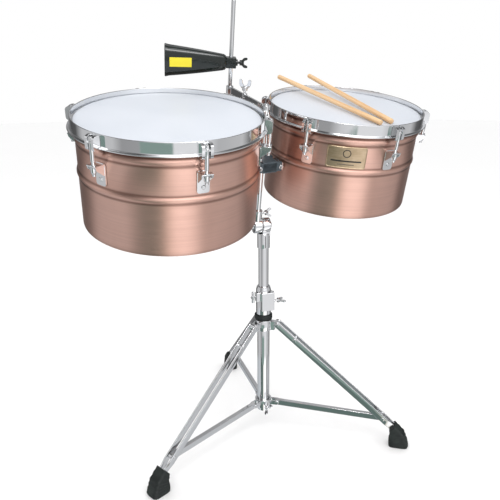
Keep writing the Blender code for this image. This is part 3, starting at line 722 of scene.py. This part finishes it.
def lug_bracket(wall):
    """The plate on the shell, whose top is bent out to a tab between two gussets."""
    right = [(0.0125, -0.101, 0.006), (0.0125, -0.06, 0.002), (0.01, -0.056, 0.002)]
    plate = side_prism(rounded(right + mirrored(right), 6), -0.0033, -0.0003)
    bend = [
        (-0.0008, -0.064, 0.0), (-0.0032, -0.064, 0.0), (-0.0032, -0.0596, 0.002),
        (-LUG_TAB, -0.0596, 0.0012), (-LUG_TAB, -0.0568, 0.0012), (-0.0008, -0.0568, 0.003),
    ]
    web = [
        (-0.001, -0.057, 0.0), (-0.001, -0.079, 0.001), (-0.0045, -0.079, 0.002),
        (-0.023, -0.064, 0.003), (-0.023, -0.057, 0.0),
    ]
    tab = end_prism(rounded(bend), -0.0115, 0.0115)
    gussets = [end_prism(rounded(web), x - 0.0008, x + 0.0008) for x in (-0.0109, 0.0109)]
    return shifted(joined(plate, tab, *gussets), y=-wall)


def slotted_screw(radius, rise):
    """A round screw head along -Y with a cross in it."""
    section = [(0, 0), (radius, 0), (radius, -rise * 0.4), (radius * 0.7, -rise), (0, -rise)]
    arm = (-radius * 0.75, radius * 0.75)
    thick = (-0.0005, 0.0005)
    depth = (-rise * 1.12, -rise * 0.9)
    return joined(along("Y", revolved(section, 24)), slab(arm, depth, thick), slab(thick, depth, arm))


def lug_claw(nominal):
    """The claw on the hoop: two cheeks, the web between them, and the hook under the lip."""
    band_y = -HOOP_OUT - 0.0002
    lip = -FLANGE_OUT - 0.0003
    hook = -HOOP_HEIGHT - 0.0005
    side_view = [
        (band_y, -HOOP_HEIGHT + 0.0034, 0.0), (band_y, -0.0022, 0.0012),
        (-0.011, -0.0005, 0.003), (-0.0205, -0.0045, 0.004), (-0.0205, hook - 0.0005, 0.005),
        (-0.014, hook - 0.004, 0.002), (-0.006, hook - 0.0025, 0.001), (-0.006, hook, 0.0),
        (lip, hook, 0.0), (lip, -HOOP_HEIGHT + 0.0034, 0.0),
    ]
    cheeks = [end_prism(rounded(side_view), *pair) for pair in ((-0.0112, -0.0052), (0.0052, 0.0112))]
    web = slab((-0.006, 0.006), (-0.0098, band_y), (-0.0215, -0.0025))
    seat = slab((-0.006, 0.006), (-0.019, band_y), (-0.015, -0.0115))
    return shifted(joined(*cheeks, web, seat), y=-nominal)


def lug_shape(head):
    """One tuning lug, facing -Y, from its bracket on the shell to its claw on the hoop."""
    nominal = head / 2
    wall = nominal - SHELL_INSET
    nut = [(0, -0.0745, 0), (0.0036, -0.0745, 0.001), (0.0058, -0.0705, 0.002)]
    nut += [(0.0058, -0.06, 0.0006), (0, -0.06, 0)]
    bolt = joined(
        rod(0.0044, -0.05, -0.011, 0.0004, 24),
        threaded(0.0036, -0.078, -0.05),
        rod(0.0052, -0.0115, -0.01, 0.0003, 24),
        cap(0.0044, -0.01, -0.004, 0.001),
        revolved(rounded(nut), 24),
        rod(0.0064, -0.0566, -0.0552, 0.0003, 24),
    )
    screw = shifted(slotted_screw(0.0046, 0.0022), y=-wall - 0.003, z=-0.089)
    return joined(lug_bracket(wall), lug_claw(nominal), shifted(bolt, y=-nominal - LUG_ROD_OUT), screw)


def on_shell(s, z, lift):
    """A point of a flat drawing that is bent round the shell between its beads, lift above it."""
    radius = BADGE_WALL + lift
    return (radius * math.sin(s / BADGE_WALL), -radius * math.cos(s / BADGE_WALL), BADGE_Z + z)


def badge_plate():
    """A plate curved to the shell, with round corners."""
    corner = 0.0045
    end = PLATE_HALF_WIDE - 0.0002
    steps = 40
    loops = []
    for k in range(steps + 1):
        s = max(-end, min(end, PLATE_HALF_WIDE * (2 * k / steps - 1)))
        past = max(0.0, abs(s) - (PLATE_HALF_WIDE - corner))
        tall = PLATE_HALF_TALL - corner + math.sqrt(corner**2 - past**2)
        section = rectangle((PLATE_BACK, PLATE_FACE), (-tall, tall))
        loops.append([on_shell(s, z, lift) for lift, z in section])
    return loft(loops)


def raised_line(points, width, closed):
    """A line of rounded section on the plate."""
    foot = PLATE_FACE - 0.0004
    crown = PLATE_FACE + 0.0005
    loops = []
    for k, at in enumerate(points):
        ahead = heading(points, k, closed)
        out = Vector((-ahead.y, ahead.x)) * width / 2
        left = Vector(at) - out
        right = Vector(at) + out
        loops.append([on_shell(*left, foot), on_shell(*at, crown), on_shell(*right, foot)])
    return loft(loops, closed)


def circle(x, z, radius, steps=36):
    angles = [math.tau * k / steps for k in range(steps)]
    return [(x + radius * math.cos(a), z + radius * math.sin(a)) for a in angles]


def line(start, end, steps=16):
    return [tuple(Vector(start).lerp(Vector(end), k / steps)) for k in range(steps + 1)]


def badge():
    """The brass plate: a raised rim, a ring and two bars in dark enamel."""
    at = DRUMS[BADGE_SIDE] @ spin(BADGE_TURN, "Z")
    body = BODY_OF["badge_plate"]
    refined("badge_plate", badge_plate(), BRASS, at, 0.0003)
    wide = PLATE_HALF_WIDE - 0.0018
    tall = PLATE_HALF_TALL - 0.0018
    edge = rectangle((-wide, wide), (-tall, tall), 0.006, 6)
    rim_points = []
    for start, end in zip(edge, edge[1:] + edge[:1]):
        steps = max(1, round((Vector(end) - Vector(start)).length / 0.003))
        rim_points += line(start, end, steps)[:-1]
    rim = make("badge_rim", raised_line(rim_points, 0.0024, True), BRASS, at, body)
    marks = [raised_line(circle(0, 0.009, 0.008), 0.0034, True)]
    for half, z, width in ((0.033, -0.008, 0.0062), (0.018, -0.0155, 0.0026)):
        marks.append(raised_line(line((-half, z), (half, z)), width, False))
    make("badge_marks", joined(*marks), ENAMEL_AND_SLIT_SHADE, at, body)


def drum(side):
    at = DRUMS[side]
    head = HEADS[side]
    refined(f"{side}_shell", shell_shape(side), COPPER[side], at)
    refined(f"{side}_hoop", hoop_shape(head), CHROME, at)
    refined(f"{side}_head", head_shape(head), FILM, at)
    for k in range(LUGS):
        turn = spin(LUG_STARTS[side] + math.tau * k / LUGS, "Z")
        refined(f"{side}_lug_{k + 1}", lug_shape(head), CHROME, at @ turn, 0.0005)
    drum_bracket(side)


def drum_bracket(side):
    """The plate on the shell and the knuckle between the block's ears."""
    sign = SIDES[side]
    at = POST @ Matrix.Translation((sign * HINGE_X, HINGE_Y, HINGE_Z)) @ spin(ROLLS[side], "Y")
    centre = (at.inverted() @ DRUMS[side]).translation
    reach = abs(centre.x) - HEADS[side] / 2 + SHELL_INSET - 0.0003
    half = 0.018
    knuckle = along("Y", rod(0.0065, -half, half, 0.0008))
    web = slab(sorted((sign * 0.002, sign * (reach - 0.001))), (-half, half), (-0.0045, 0.0045))
    outline = rectangle((-half, half), (-0.0125, 0.006), 0.002)
    plate = end_prism(outline, *sorted((sign * (reach - 0.003), sign * reach)))
    refined(f"{side}_bracket", joined(knuckle, web, plate), CHROME, at, 0.0006)


def stick(number, butt, tip):
    """A plain round stick that lies on the right drum's hoop and head."""
    rise = HOOP_OVER_HEAD / (HEADS["right"] / 2 - tip[1])
    low = STICK_R + 0.0006 - HOOP_OVER_HEAD
    start = Vector((*tip, low))
    end = Vector((*butt, low + rise * (butt[1] - tip[1])))
    length = (end - start).length
    outline = rounded([(0, 0, 0), (STICK_R, 0, 0.003), (STICK_R, length, 0.002), (0, length, 0)], 6)
    turn = (end - start).to_track_quat("Z", "Y").to_matrix().to_4x4()
    refined(f"stick_{number}", revolved(outline, 40), WOOD, DRUMS["right"] @ Matrix.Translation(start) @ turn)


# Wing screws.


def wing_screw(shaft_r, low, high, span, rise, fork=False):
    """A cast wing screw along Z. A fork has its two wings standing up side by side."""
    half = span / 2
    root = shaft_r * 1.7
    right = [(root, 0, 0.001)]
    if fork:
        right += [(half * 0.95, rise * 0.38, 0.004), (half, rise, 0.003)]
        right += [(half * 0.52, rise, 0.003), (half * 0.42, rise * 0.52, 0.004)]
        saddle = [(0, rise * 0.3, 0.004)]
    else:
        right += [(root * 1.4, rise * 0.25, 0.003), (half, rise * 0.5, 0.004), (half, rise, 0.005)]
        right += [(half * 0.55, rise * 0.98, 0.003), (root * 0.8, rise * 0.48, 0.003)]
        saddle = []
    outline = rounded(right + saddle + mirrored(right))
    wings = shifted(side_prism(outline, -shaft_r * 0.7, shaft_r * 0.7), z=high)
    hub = [(0, -0.12, 0), (root * 1.3, -0.12, 0.0008), (root * 1.05, 0.3, 0.002), (0, 0.36, 0)]
    hub = rounded([(radius, high + rise * share, reach) for radius, share, reach in hub])
    return joined(wings, revolved(hub), threaded(shaft_r, low, high))


def wing_screws():
    """Each wing screw, with its shaft along its own joint's axis, turned by some degrees."""
    screws = (
        ("collar_wing_screw", "collar_screw_turn", -35, CHROME, (0.0162, 0.033, 0.03, 0.016)),
        ("height_wing_bolt", "height_bolt_turn", 90, CHROME, (0.0125, 0.033, 0.03, 0.016)),
        ("post_wing_screw", "post_screw_turn", 0, CHROME, (0.0063, 0.02, 0.022, 0.014)),
        ("holder_wing_screw", "holder_screw_turn", 62, CHROME, (0.0003, 0.019, 0.028, 0.022, True)),
        ("cowbell_wing_screw", "bell_screw_turn", 0, GLOSS, (0.0051, 0.023, 0.024, 0.017)),
    )
    for node, joint, degrees, finish, sizes in screws:
        at = screw_frame(joint) @ spin(math.radians(degrees), "Z")
        refined(node, wing_screw(PIN_R, *sizes), finish, at, 0.0009)


# Carrier.


def tilter():
    """Ferrule with a painted shade strip in its slit, the two halves of the hub with their teeth, and the
    bolt through them.
    """
    centre_z = joint_pos("tilt").z
    ferrule = revolved(rounded([
        (MAST_R + 0.0003, 0.508, 0.0004), (MAST_R + 0.0028, 0.508, 0.001),
        (MAST_R + 0.0028, 0.5445, 0.0012), (MAST_R - 0.001, 0.5458, 0.0006),
        (MAST_R + 0.0003, 0.53, 0.0),
    ]), 64)
    # painted shade: a dark strip set into the ferrule's wall stands for the shade inside its slit.
    slot = slab((-0.0008, 0.0008), (-MAST_R - 0.003, -MAST_R - 0.0014), (0.51, 0.54))
    neck = slab((-0.0056, 0.0138), (-0.011, 0.011), (0.54, centre_z))
    fixed = joined(along("X", rod(HUB_R, -0.0052, 0.014, 0.0016, 64)), teeth(-0.006, -0.0048))
    refined("tilter_base", joined(ferrule, neck, shifted(fixed, z=centre_z)), CHROME, TUBE, 0.0006)
    make("tilter_slit_painted_shade", slot, ENAMEL_AND_SLIT_SHADE, TUBE, BODY_OF["tilter_base"])
    hub = along("X", rod(HUB_R, -0.0262, -0.0072, 0.0016, 64))
    socket = shifted(pipe(POST_R + 0.0003, 0.0105, 0.004, 0.042, 0.001), x=TILTER_X)
    refined("tilter_head", joined(hub, socket, teeth(-0.0074, -0.0062)), CHROME, TILTER, 0.0006)
    screw = moved(wing_screw(0.004, -0.0185, 0.0297, 0.03, 0.014), spin(-math.pi / 2, "Y"))
    bolt = joined(screw, along("X", cap(0.0082, 0.0143, 0.019, 0.001)))
    refined("tilter_wing_bolt", bolt, CHROME, Matrix.Translation(joint_pos("tilter_bolt_turn")), 0.0009)


def teeth(low, high, count=24):
    """A ring of radial teeth along X."""
    whole = []
    for k in range(count):
        tooth = slab((low, high), (-0.0012, 0.0012), (0.012, 0.0182))
        whole.append(moved(tooth, spin(math.tau * k / count, "X")))
    return joined(*whole)


def carrier():
    """The post, the mount block with its ears, and a hinge bolt for each drum."""
    refined("post", rod(POST_R, 0.012, 0.297, 0.0012, 48), CHROME, POST)
    body = slab((-0.0185, 0.0185), (BLOCK_FRONT, BLOCK_BACK), (0.151, 0.1766))
    outline = rectangle((-0.0315, 0.0315), (0.153, 0.1746), 0.004)
    ears = [side_prism(outline, y, y + BLOCK_EAR) for y in (BLOCK_FRONT, BLOCK_BACK - BLOCK_EAR)]
    refined("mount_block", joined(body, *ears), PAINT, POST, 0.0012)
    for side, sign in SIDES.items():
        bolt = joined(
            threaded(PIN_R, BLOCK_FRONT - 0.002, BLOCK_BACK + 0.006),
            cap(0.0058, BLOCK_FRONT, BLOCK_FRONT - 0.0045, 0.0008),
            rod(0.0056, BLOCK_BACK + 0.0003, BLOCK_BACK + 0.005, 0.0006, 6),
        )
        at = POST @ Matrix.Translation((sign * HINGE_X, 0, HINGE_Z))
        refined(f"{side}_hinge_bolt", along("Y", bolt), CHROME, at)


# Cowbell.


def bell_half(share):
    """The bell's half width and half height, from its crown at 0 to its mouth at 1."""
    belly = 0.001 * math.sin(math.pi * share)
    return BELL_CROWN.lerp(BELL_MOUTH, share) + Vector((belly, belly))


def bell_section(half, x, grow=0.0):
    """A rounded rectangle at station x."""
    return [(x, y, z) for y, z in soft_box(half.x + grow, half.y + grow, 0.5, 72)]


def bell_shape():
    """A hollow bell along -X: folded sheet with a rolled mouth and a crown that is pressed flat."""
    wall = 0.0015
    roll = 0.0007
    crown = -BELL_START
    mouth = crown - BELL_LENGTH
    steps = 16
    outer = []
    inner = []
    for k in range(steps + 1):
        share = 1 - k / steps
        x = crown - BELL_LENGTH * share
        outer.append(bell_section(bell_half(share), x))
        inner.append(bell_section(bell_half(share), min(x, crown - wall - 0.004), -wall))
    outer[-1] = bell_section(BELL_CROWN, crown - 0.003)
    outer.append(bell_section(BELL_CROWN, crown, -0.0018))
    rolled = [bell_section(BELL_MOUTH, mouth + x, roll) for x in (0.003, 0.0006)]
    rolled.append(bell_section(BELL_MOUTH, mouth - 0.0002, -0.0004))
    return loft([*reversed(outer[1:]), *rolled, *inner])


def cowbell():
    """The bell with its side seams, its clamp, its label and its rod."""
    refined("cowbell", bell_shape(), GLOSS, BELL, 0, 50)
    seams = []
    for side in (-1, 1):
        start = (-BELL_START - BELL_LENGTH * 0.98, 0, side * (BELL_MOUTH.y + 0.0003))
        end = (-BELL_START - BELL_LENGTH * 0.03, 0, side * (BELL_CROWN.y + 0.0003))
        seams.append(swept(line(start, end, 12), 0.0011))
    seam = make("cowbell_seams", joined(*seams), GLOSS, BELL, BODY_OF["cowbell"])
    body = slab((-BELL_START + 0.0003, 0.012), (-0.0095, 0.0095), (-0.0125, 0.0125))
    boss = along("X", rod(0.0075, 0.01, 0.016, 0.001))
    refined("cowbell_clamp", joined(body, boss), GLOSS, BELL, 0.0016)
    label()
    rod_at = POST @ Matrix.Translation((0, HOLDER_LENGTH, 0))
    refined("cowbell_rod", rod(ROD_R, 0.235, 0.486, 0.0012, 40), CHROME, rod_at)


def label():
    """A plain yellow label on the bell's front face."""
    far, near = LABEL_SHARES
    steps = 6
    loops = []
    for k in range(steps + 1):
        share = far + (near - far) * k / steps
        y = -bell_half(share).x
        section = rectangle((y + 0.0006, y - 0.0004), (-LABEL_HALF_TALL, LABEL_HALF_TALL))
        loops.append([(-BELL_START - BELL_LENGTH * share, *point) for point in section])
    make("cowbell_label", loft(loops), LABEL, BELL, BODY_OF["cowbell"], 0.0002)


def holder():
    """The bar from the post to the cowbell's rod, with a boss on each and one for its screw."""
    low = HOLDER_Z - 0.008
    high = HOLDER_Z + 0.008
    shapes = [slab((-0.0028, 0.0028), (0, HOLDER_LENGTH), (low, high))]
    for y, bore, outer in ((0, POST_R, POST_R + 0.004), (HOLDER_LENGTH, ROD_R, ROD_R + 0.0038)):
        shapes.append(shifted(pipe(bore + 0.0002, outer, low - 0.001, high + 0.001, 0.0008), y=y))
    shapes.append(shifted(rod(0.0062, low + 0.001, high + 0.0016, 0.0008), y=HOLDER_SCREW_Y))
    refined("holder_bar", joined(*shapes), CHROME, POST, 0.0009)


# Stand.


def tube_and_clamp():
    refined("outer_tube", pipe(TUBE_R - 0.0015, TUBE_R, 0.058, 0.352, 0.0006, 96), CHROME, TUBE)
    refined("mast", pipe(MAST_R - 0.0015, MAST_R, 0.19, 0.53, 0.0005, 96), CHROME, TUBE)
    refined("collar_ring", pipe(TUBE_R + 0.0003, 0.0228, 0.3193, 0.3332, 0.003, 96), RUBBER, TUBE)
    body = revolved(rounded([
        (TUBE_R + 0.0003, 0.3335, 0.0005), (0.019, 0.3335, 0.0012), (0.019, 0.399, 0.003),
        (0.0172, 0.405, 0.002), (0.0172, 0.408, 0.001), (MAST_R + 0.0003, 0.408, 0.0008),
        (MAST_R + 0.0003, 0.353, 0.0), (TUBE_R + 0.0003, 0.353, 0.0),
    ]), 96)
    jaw = slab((-0.013, 0.0205), (-0.0265, 0.0), (0.348, 0.396))
    hinge = shifted(rod(0.0052, 0.35, 0.394, 0.001), x=0.0195, y=-0.01)
    ear = slab((-0.0245, -0.012), (-0.018, -0.006), (0.372, 0.396))
    refined("height_clamp", joined(body, jaw, hinge, ear), CHROME, TUBE, 0.0016)
    shank = along("X", threaded(PIN_R, -0.0125, -0.0003))
    bar = shifted(rod(0.0036, -0.0145, 0.0145, 0.0012), x=-0.0072)
    at = TUBE @ Matrix.Translation((-0.0245, -0.012, 0.384))
    refined("height_eye_bolt", joined(shank, bar), CHROME, at)


def collars():
    """The fixed collar's ears stand between the struts, and the sliding collar's forks hold the braces."""
    fixed = [pipe(TUBE_R + 0.0003, COLLAR_R, 0.29, 0.318, 0.0012, 96)]
    slide = [pipe(TUBE_R + 0.0003, COLLAR_R, BRACE_PIVOT_Z - 0.015, BRACE_PIVOT_Z + 0.008, 0.0012, 96)]
    half = STRUT_GAP / 2 - 0.0003
    inner = BRACE_HALF + 0.0006
    for spoke in SPOKES.values():
        ear = shifted(side_prism(stadium(0.023, PIVOT_R, 0.0062), -half, half), z=LEG_PIVOT_Z)
        root = slab((0.0185, 0.03), (0.0006 - half, half - 0.0006), (LEG_PIVOT_Z - 0.017, LEG_PIVOT_Z))
        forks = rivet_heads(0.0044, inner + 0.0026, inner + 0.0036, 0.0005, PIVOT_R, BRACE_PIVOT_Z)
        for cheek in ((-inner - 0.0028, -inner), (inner, inner + 0.0028)):
            forks.append(shifted(side_prism(stadium(0.023, PIVOT_R, 0.006), *cheek), z=BRACE_PIVOT_Z))
        pin = along("Y", rod(PIN_R, -inner - 0.003, inner + 0.003))
        forks.append(shifted(pin, x=PIVOT_R, z=BRACE_PIVOT_Z))
        turn = TUBE.inverted() @ spoke
        fixed.append(moved(joined(ear, root), turn))
        slide.append(moved(joined(*forks), turn))
    refined("leg_collar", joined(*fixed), CHROME, TUBE, 0.0007)
    refined("brace_collar", joined(*slide), CHROME, TUBE, 0.0007)


def strut(side):
    """A flat bar along X whose last stretch turns in towards the other strut."""
    middle = STRUT_GAP / 2 + STRUT_WIDE / 2
    half = STRUT_DEEP / 2
    wide = STRUT_WIDE / 2
    bend = BRACE_ON_LEG + BRACE_R + 0.004
    stations = [-half, -half * 0.8, -half * 0.4, 0.0, *(bend + 0.004 * k for k in range(6)), LEG_LENGTH]
    loops = []
    for x in stations:
        toe = max(0.0, min(1.0, (x - bend) / 0.02))
        toe = toe * toe * (3 - 2 * toe)
        centre = side * (middle - 0.003 * toe)
        tall = half * math.sqrt(max(0.02, 1 - (min(x, 0.0) / half) ** 2))
        section = rectangle((centre - wide, centre + wide), (-tall, tall), 0.001, 3)
        loops.append([(x, *point) for point in section])
    return loft(loops)


def leg_shape():
    """Two struts with their pivot pin, their spacer and three pairs of rivet heads."""
    outer = STRUT_GAP / 2 + STRUT_WIDE
    shapes = [strut(-1), strut(1)]
    for x, radius in ((0.0, PIN_R), (SPACER_X, 0.0042)):
        shapes.append(shifted(along("Y", rod(radius, -outer - 0.0002, outer + 0.0002)), x=x))
    for x in (0.0, SPACER_X, BRACE_ON_LEG):
        shapes += rivet_heads(0.0047, outer - 0.0026, outer + 0.0012, 0.0009, x)
    return joined(*shapes)


def foot_shape(leg_in_spoke):
    """A ribbed rubber boot with a flat sole, drawn in round the struts at its top."""
    end = leg_in_spoke @ Vector((LEG_LENGTH, 0, 0))
    up = (leg_in_spoke.to_3x3() @ Vector((-1, 0, 0))).normalized()
    across = (leg_in_spoke.to_3x3() @ UP).normalized()
    top = end + up * 0.022
    inner_side = [(-0.0238, 0.0), (-0.0242, 0.009), (-0.0238, 0.0165), (-0.0215, 0.026)]
    inner_side = [Vector((end.x + x, 0, z)) for x, z in inner_side] + [top - across * 0.012]
    outer_side = [(0.023, 0.0), (0.0246, 0.006), (0.022, 0.017), (0.0136, 0.038)]
    outer_side = [Vector((end.x + x, 0, z)) for x, z in outer_side] + [top + across * 0.0115]
    wides = [0.0176, 0.018, 0.018, 0.0178, 0.0166]
    steps = 44
    ribs = 8
    loops = []
    for k in range(steps + 1):
        share = k / steps
        rib = 0.0005 * math.cos(share * math.tau * ribs) if 0.12 < share < 0.94 else 0.0
        ends = (on_line(inner_side, share), on_line(outer_side, share))
        loops.append(boot_section(*ends, on_line(wides, share) + rib, rib))
    return loft(loops)


def on_line(values, share):
    """The value at a share of the way along a list of points or numbers."""
    at = share * (len(values) - 1)
    k = min(int(at), len(values) - 2)
    return values[k] + (values[k + 1] - values[k]) * (at - k)


def boot_section(low, high, wide, grow):
    """A rounded rectangle between two points in the XZ plane, wide to each side of it."""
    middle = (low + high) / 2
    reach = (high - low) / 2
    outline = soft_box(reach.length + grow, wide, 0.42, 40)
    return [middle + reach.normalized() * u + Vector((0, v, 0)) for u, v in outline]


def tripod():
    """The three legs with their boots, and the braces to the sliding collar."""
    leg_in_spoke = Matrix.Translation((PIVOT_R, 0, LEG_PIVOT_Z)) @ spin(LEG_DECLINE, "Y")
    run = BRACE_ON_LEG * math.cos(LEG_DECLINE)
    drop = LEG_PIVOT_Z - BRACE_ON_LEG * math.sin(LEG_DECLINE) - BRACE_PIVOT_Z
    brace_length = math.hypot(run, drop)
    brace_turn = spin(math.atan2(-drop, run), "Y")
    for side, spoke in SPOKES.items():
        refined(f"{side}_leg", leg_shape(), CHROME, spoke @ leg_in_spoke, 0.0006)
        refined(f"{side}_foot", foot_shape(leg_in_spoke), RUBBER, spoke, 0, 60)
        bar = side_prism(stadium(0, brace_length, BRACE_R), -BRACE_HALF, BRACE_HALF)
        at = spoke @ Matrix.Translation((PIVOT_R, 0, BRACE_PIVOT_Z)) @ brace_turn
        refined(f"{side}_brace", bar, CHROME, at, 0.001)


# Studio.


# What the chrome and the copper reflect, as (degrees from the front, colour or grey level) stops.
DARK = (0.13, 0.18, 0.165)
BRIGHT = (1.35, 1.35, 1.38)
GROUND = [
    (-180, (0.3, 0.31, 0.32)), (-150, (0.45, 0.47, 0.5)), (-75, (0.6, 0.63, 0.66)),
    (-55, (0.8, 0.83, 0.87)), (-53, (0.02, 0.02, 0.02)), (-50, (0.02, 0.02, 0.02)),
    (-49, DARK), (-6, DARK), (-3, (0.78, 0.74, 0.66)), (14, BRIGHT), (50, BRIGHT),
    (58, (0.12, 0.12, 0.12)), (66, (0.3, 0.28, 0.26)), (72, (0.62, 0.63, 0.65)),
    (120, (0.45, 0.46, 0.48)), (150, (0.4, 0.4, 0.4)), (180, (0.3, 0.31, 0.32)),
]
ROOM_WALL = [
    *((-180, 0.42), (-150, 0.22), (-138, 0.08), (-122, 0.1), (-106, 0.55), (-60, 0.58), (-48, 0.34)),
    *((-28, 0.36), (-12, 0.66), (10, 0.8), (50, 0.82), (68, 0.5), (104, 0.56), (120, 0.12)),
    *((138, 0.08), (150, 0.26), (180, 0.42)),
]
CEILING = [
    *((-180, 0.4), (-125, 0.1), (-98, 0.1), (-90, 0.8), (-72, 0.8), (-56, 0.1), (-24, 0.12)),
    *((-8, 0.9), (8, 2.2), (44, 2.6), (60, 0.8), (80, 0.3), (100, 0.12), (130, 0.15), (180, 0.5)),
]
FLAG = [(-180, 0.0), (-27, 0.0), (-26, 1.0), (12, 1.0), (13, 0.0), (180, 0.0)]
FLAG_COLOUR = (0.25, 0.34, 0.31, 1.0)
EVEN_LIGHT = (1.07, 1.07, 1.07, 1.0)
BACKDROP = (1.0, 1.0, 1.0, 1.0)


def compass(tree, direction):
    """A direction's bearing, from 0 to 1 round the compass, with 0.5 to the front."""
    turned = add_node(tree, "VectorRotate", {"Vector": direction, "Angle": -FRONT}, rotation_type="Z_AXIS")
    flat = add_node(tree, "SeparateXYZ", {0: turned.outputs[0]}).outputs
    minus_y = add_node(tree, "Math", {0: flat["Y"], 1: -1.0}, operation="MULTIPLY").outputs[0]
    bearing = add_node(tree, "Math", {0: flat["X"], 1: minus_y}, operation="ARCTAN2").outputs[0]
    inputs = {"Value": bearing, "From Min": -math.pi, "From Max": math.pi}
    return add_node(tree, "MapRange", inputs).outputs[0]


def band(tree, bearing, stops):
    """A colour ramp over the compass."""
    made = add_node(tree, "ValToRGB", {0: bearing})
    elements = made.color_ramp.elements
    for k, (degrees, colour) in enumerate(stops):
        if k > 1:
            elements.new(1.0)
        if not isinstance(colour, tuple):
            colour = (colour, colour, colour * 1.02)
        elements[k].position = degrees / 360 + 0.5
        elements[k].color = (*colour, 1.0)
    return made.outputs[0]


def studio_world():
    """A pale studio: soft panels all round, darker openings, and an even light for matt surfaces."""
    world = bpy.data.worlds.new("studio")
    bpy.context.scene.world = world
    world.use_nodes = True
    world.cycles.sampling_method = "NONE"
    tree = world.node_tree
    tree.nodes.clear()
    direction = add_node(tree, "TexCoord").outputs["Generated"]
    height = add_node(tree, "SeparateXYZ", {0: direction}).outputs["Z"]
    bearing = compass(tree, direction)

    def mixed(share, first, second):
        return add_node(tree, "Mix", {0: share, 6: first, 7: second}, data_type="RGBA").outputs[2]

    def past(start, end, kind="LINEAR"):
        """0 at a height of start, and 1 from end on."""
        inputs = {"Value": height, "From Min": start, "From Max": end}
        return add_node(tree, "MapRange", inputs, interpolation_type=kind).outputs[0]

    def product(first, second):
        return add_node(tree, "Math", {0: first, 1: second}, operation="MULTIPLY").outputs[0]

    low = band(tree, bearing, GROUND)
    room = mixed(past(-0.47, -0.43, "SMOOTHSTEP"), low, band(tree, bearing, ROOM_WALL))
    room = mixed(past(0.05, 0.35, "SMOOTHSTEP"), room, band(tree, bearing, CEILING))
    flag = product(past(-0.33, -0.345), band(tree, bearing, FLAG))
    room = mixed(product(flag, past(-0.485, -0.475)), room, FLAG_COLOUR)
    paths = add_node(tree, "LightPath").outputs
    colour = mixed(paths["Is Diffuse Ray"], room, EVEN_LIGHT)
    colour = mixed(paths["Is Camera Ray"], colour, BACKDROP)
    background = add_node(tree, "Background", {"Color": colour, "Strength": 1.0})
    add_node(tree, "OutputWorld", {0: background.outputs[0]})


def area_light(name, place, size, power, glossy=False):
    """A soft square light that faces the object's middle. Only a glossy one shows in reflections."""
    data = bpy.data.lights.new(name, "AREA")
    data.energy = power
    data.size = size
    lamp = add_object(name, data)
    lamp.location = place
    lamp.rotation_euler = (MIDDLE - place).to_track_quat("-Z", "Y").to_euler()
    lamp.visible_glossy = glossy
    lamp.visible_camera = False


def floor():
    """A wide pale disc under the feet."""
    shape = bmesh.new()
    bmesh.ops.create_circle(shape, cap_ends=True, segments=96, radius=14.0)
    mesh = mesh_of("floor", shape)
    mesh.materials.append(floor_surface())
    ground = add_object("floor", mesh)
    ground.location.z = CAD_BOX[0].z - 0.0005
    ground.visible_glossy = False


def camera():
    """The camera stands in front, to the left of the stand, and looks a little down."""
    ahead = Vector((math.sin(YAW) * math.cos(PITCH), math.cos(YAW) * math.cos(PITCH), -math.sin(PITCH)))
    level = Vector((math.cos(YAW), -math.sin(YAW), 0))
    right = level * math.cos(ROLL) + level.cross(ahead) * math.sin(ROLL)
    data = bpy.data.cameras.new("camera")
    data.sensor_width = SENSOR_MM
    data.lens = LENS_MM
    eye = add_object("camera", data)
    eye.matrix_world = frame_of(tube_axis() + CAMERA_OFFSET, right, right.cross(ahead), -ahead)
    bpy.context.scene.camera = eye


for drum_side in HEADS:
    drum(drum_side)
badge()
stick(1, (-0.04, 0.25), (-0.012, -0.148))
stick(2, (0.056, 0.252), (0.019, -0.146))
wing_screws()
tilter()
carrier()
cowbell()
holder()
tube_and_clamp()
collars()
tripod()

studio_world()
MIDDLE = (CAD_BOX[0] + CAD_BOX[1]) / 2
for lamp, offset, side_length, watts in (
    ("key", (-1.6, -1.8, 1.9), 1.8, 16),
    ("fill", (2.0, -1.2, 1.4), 1.8, 8),
    ("top", (0.0, 0.6, 2.4), 2.4, 10),
):
    area_light(lamp, MIDDLE + Vector(offset), side_length, watts)
area_light("strip", tube_axis() + Vector((-0.04, -0.72, 1.42)), 0.3, 1.8, True)
floor()
camera()
bpy.context.scene.view_settings.view_transform = "Standard"
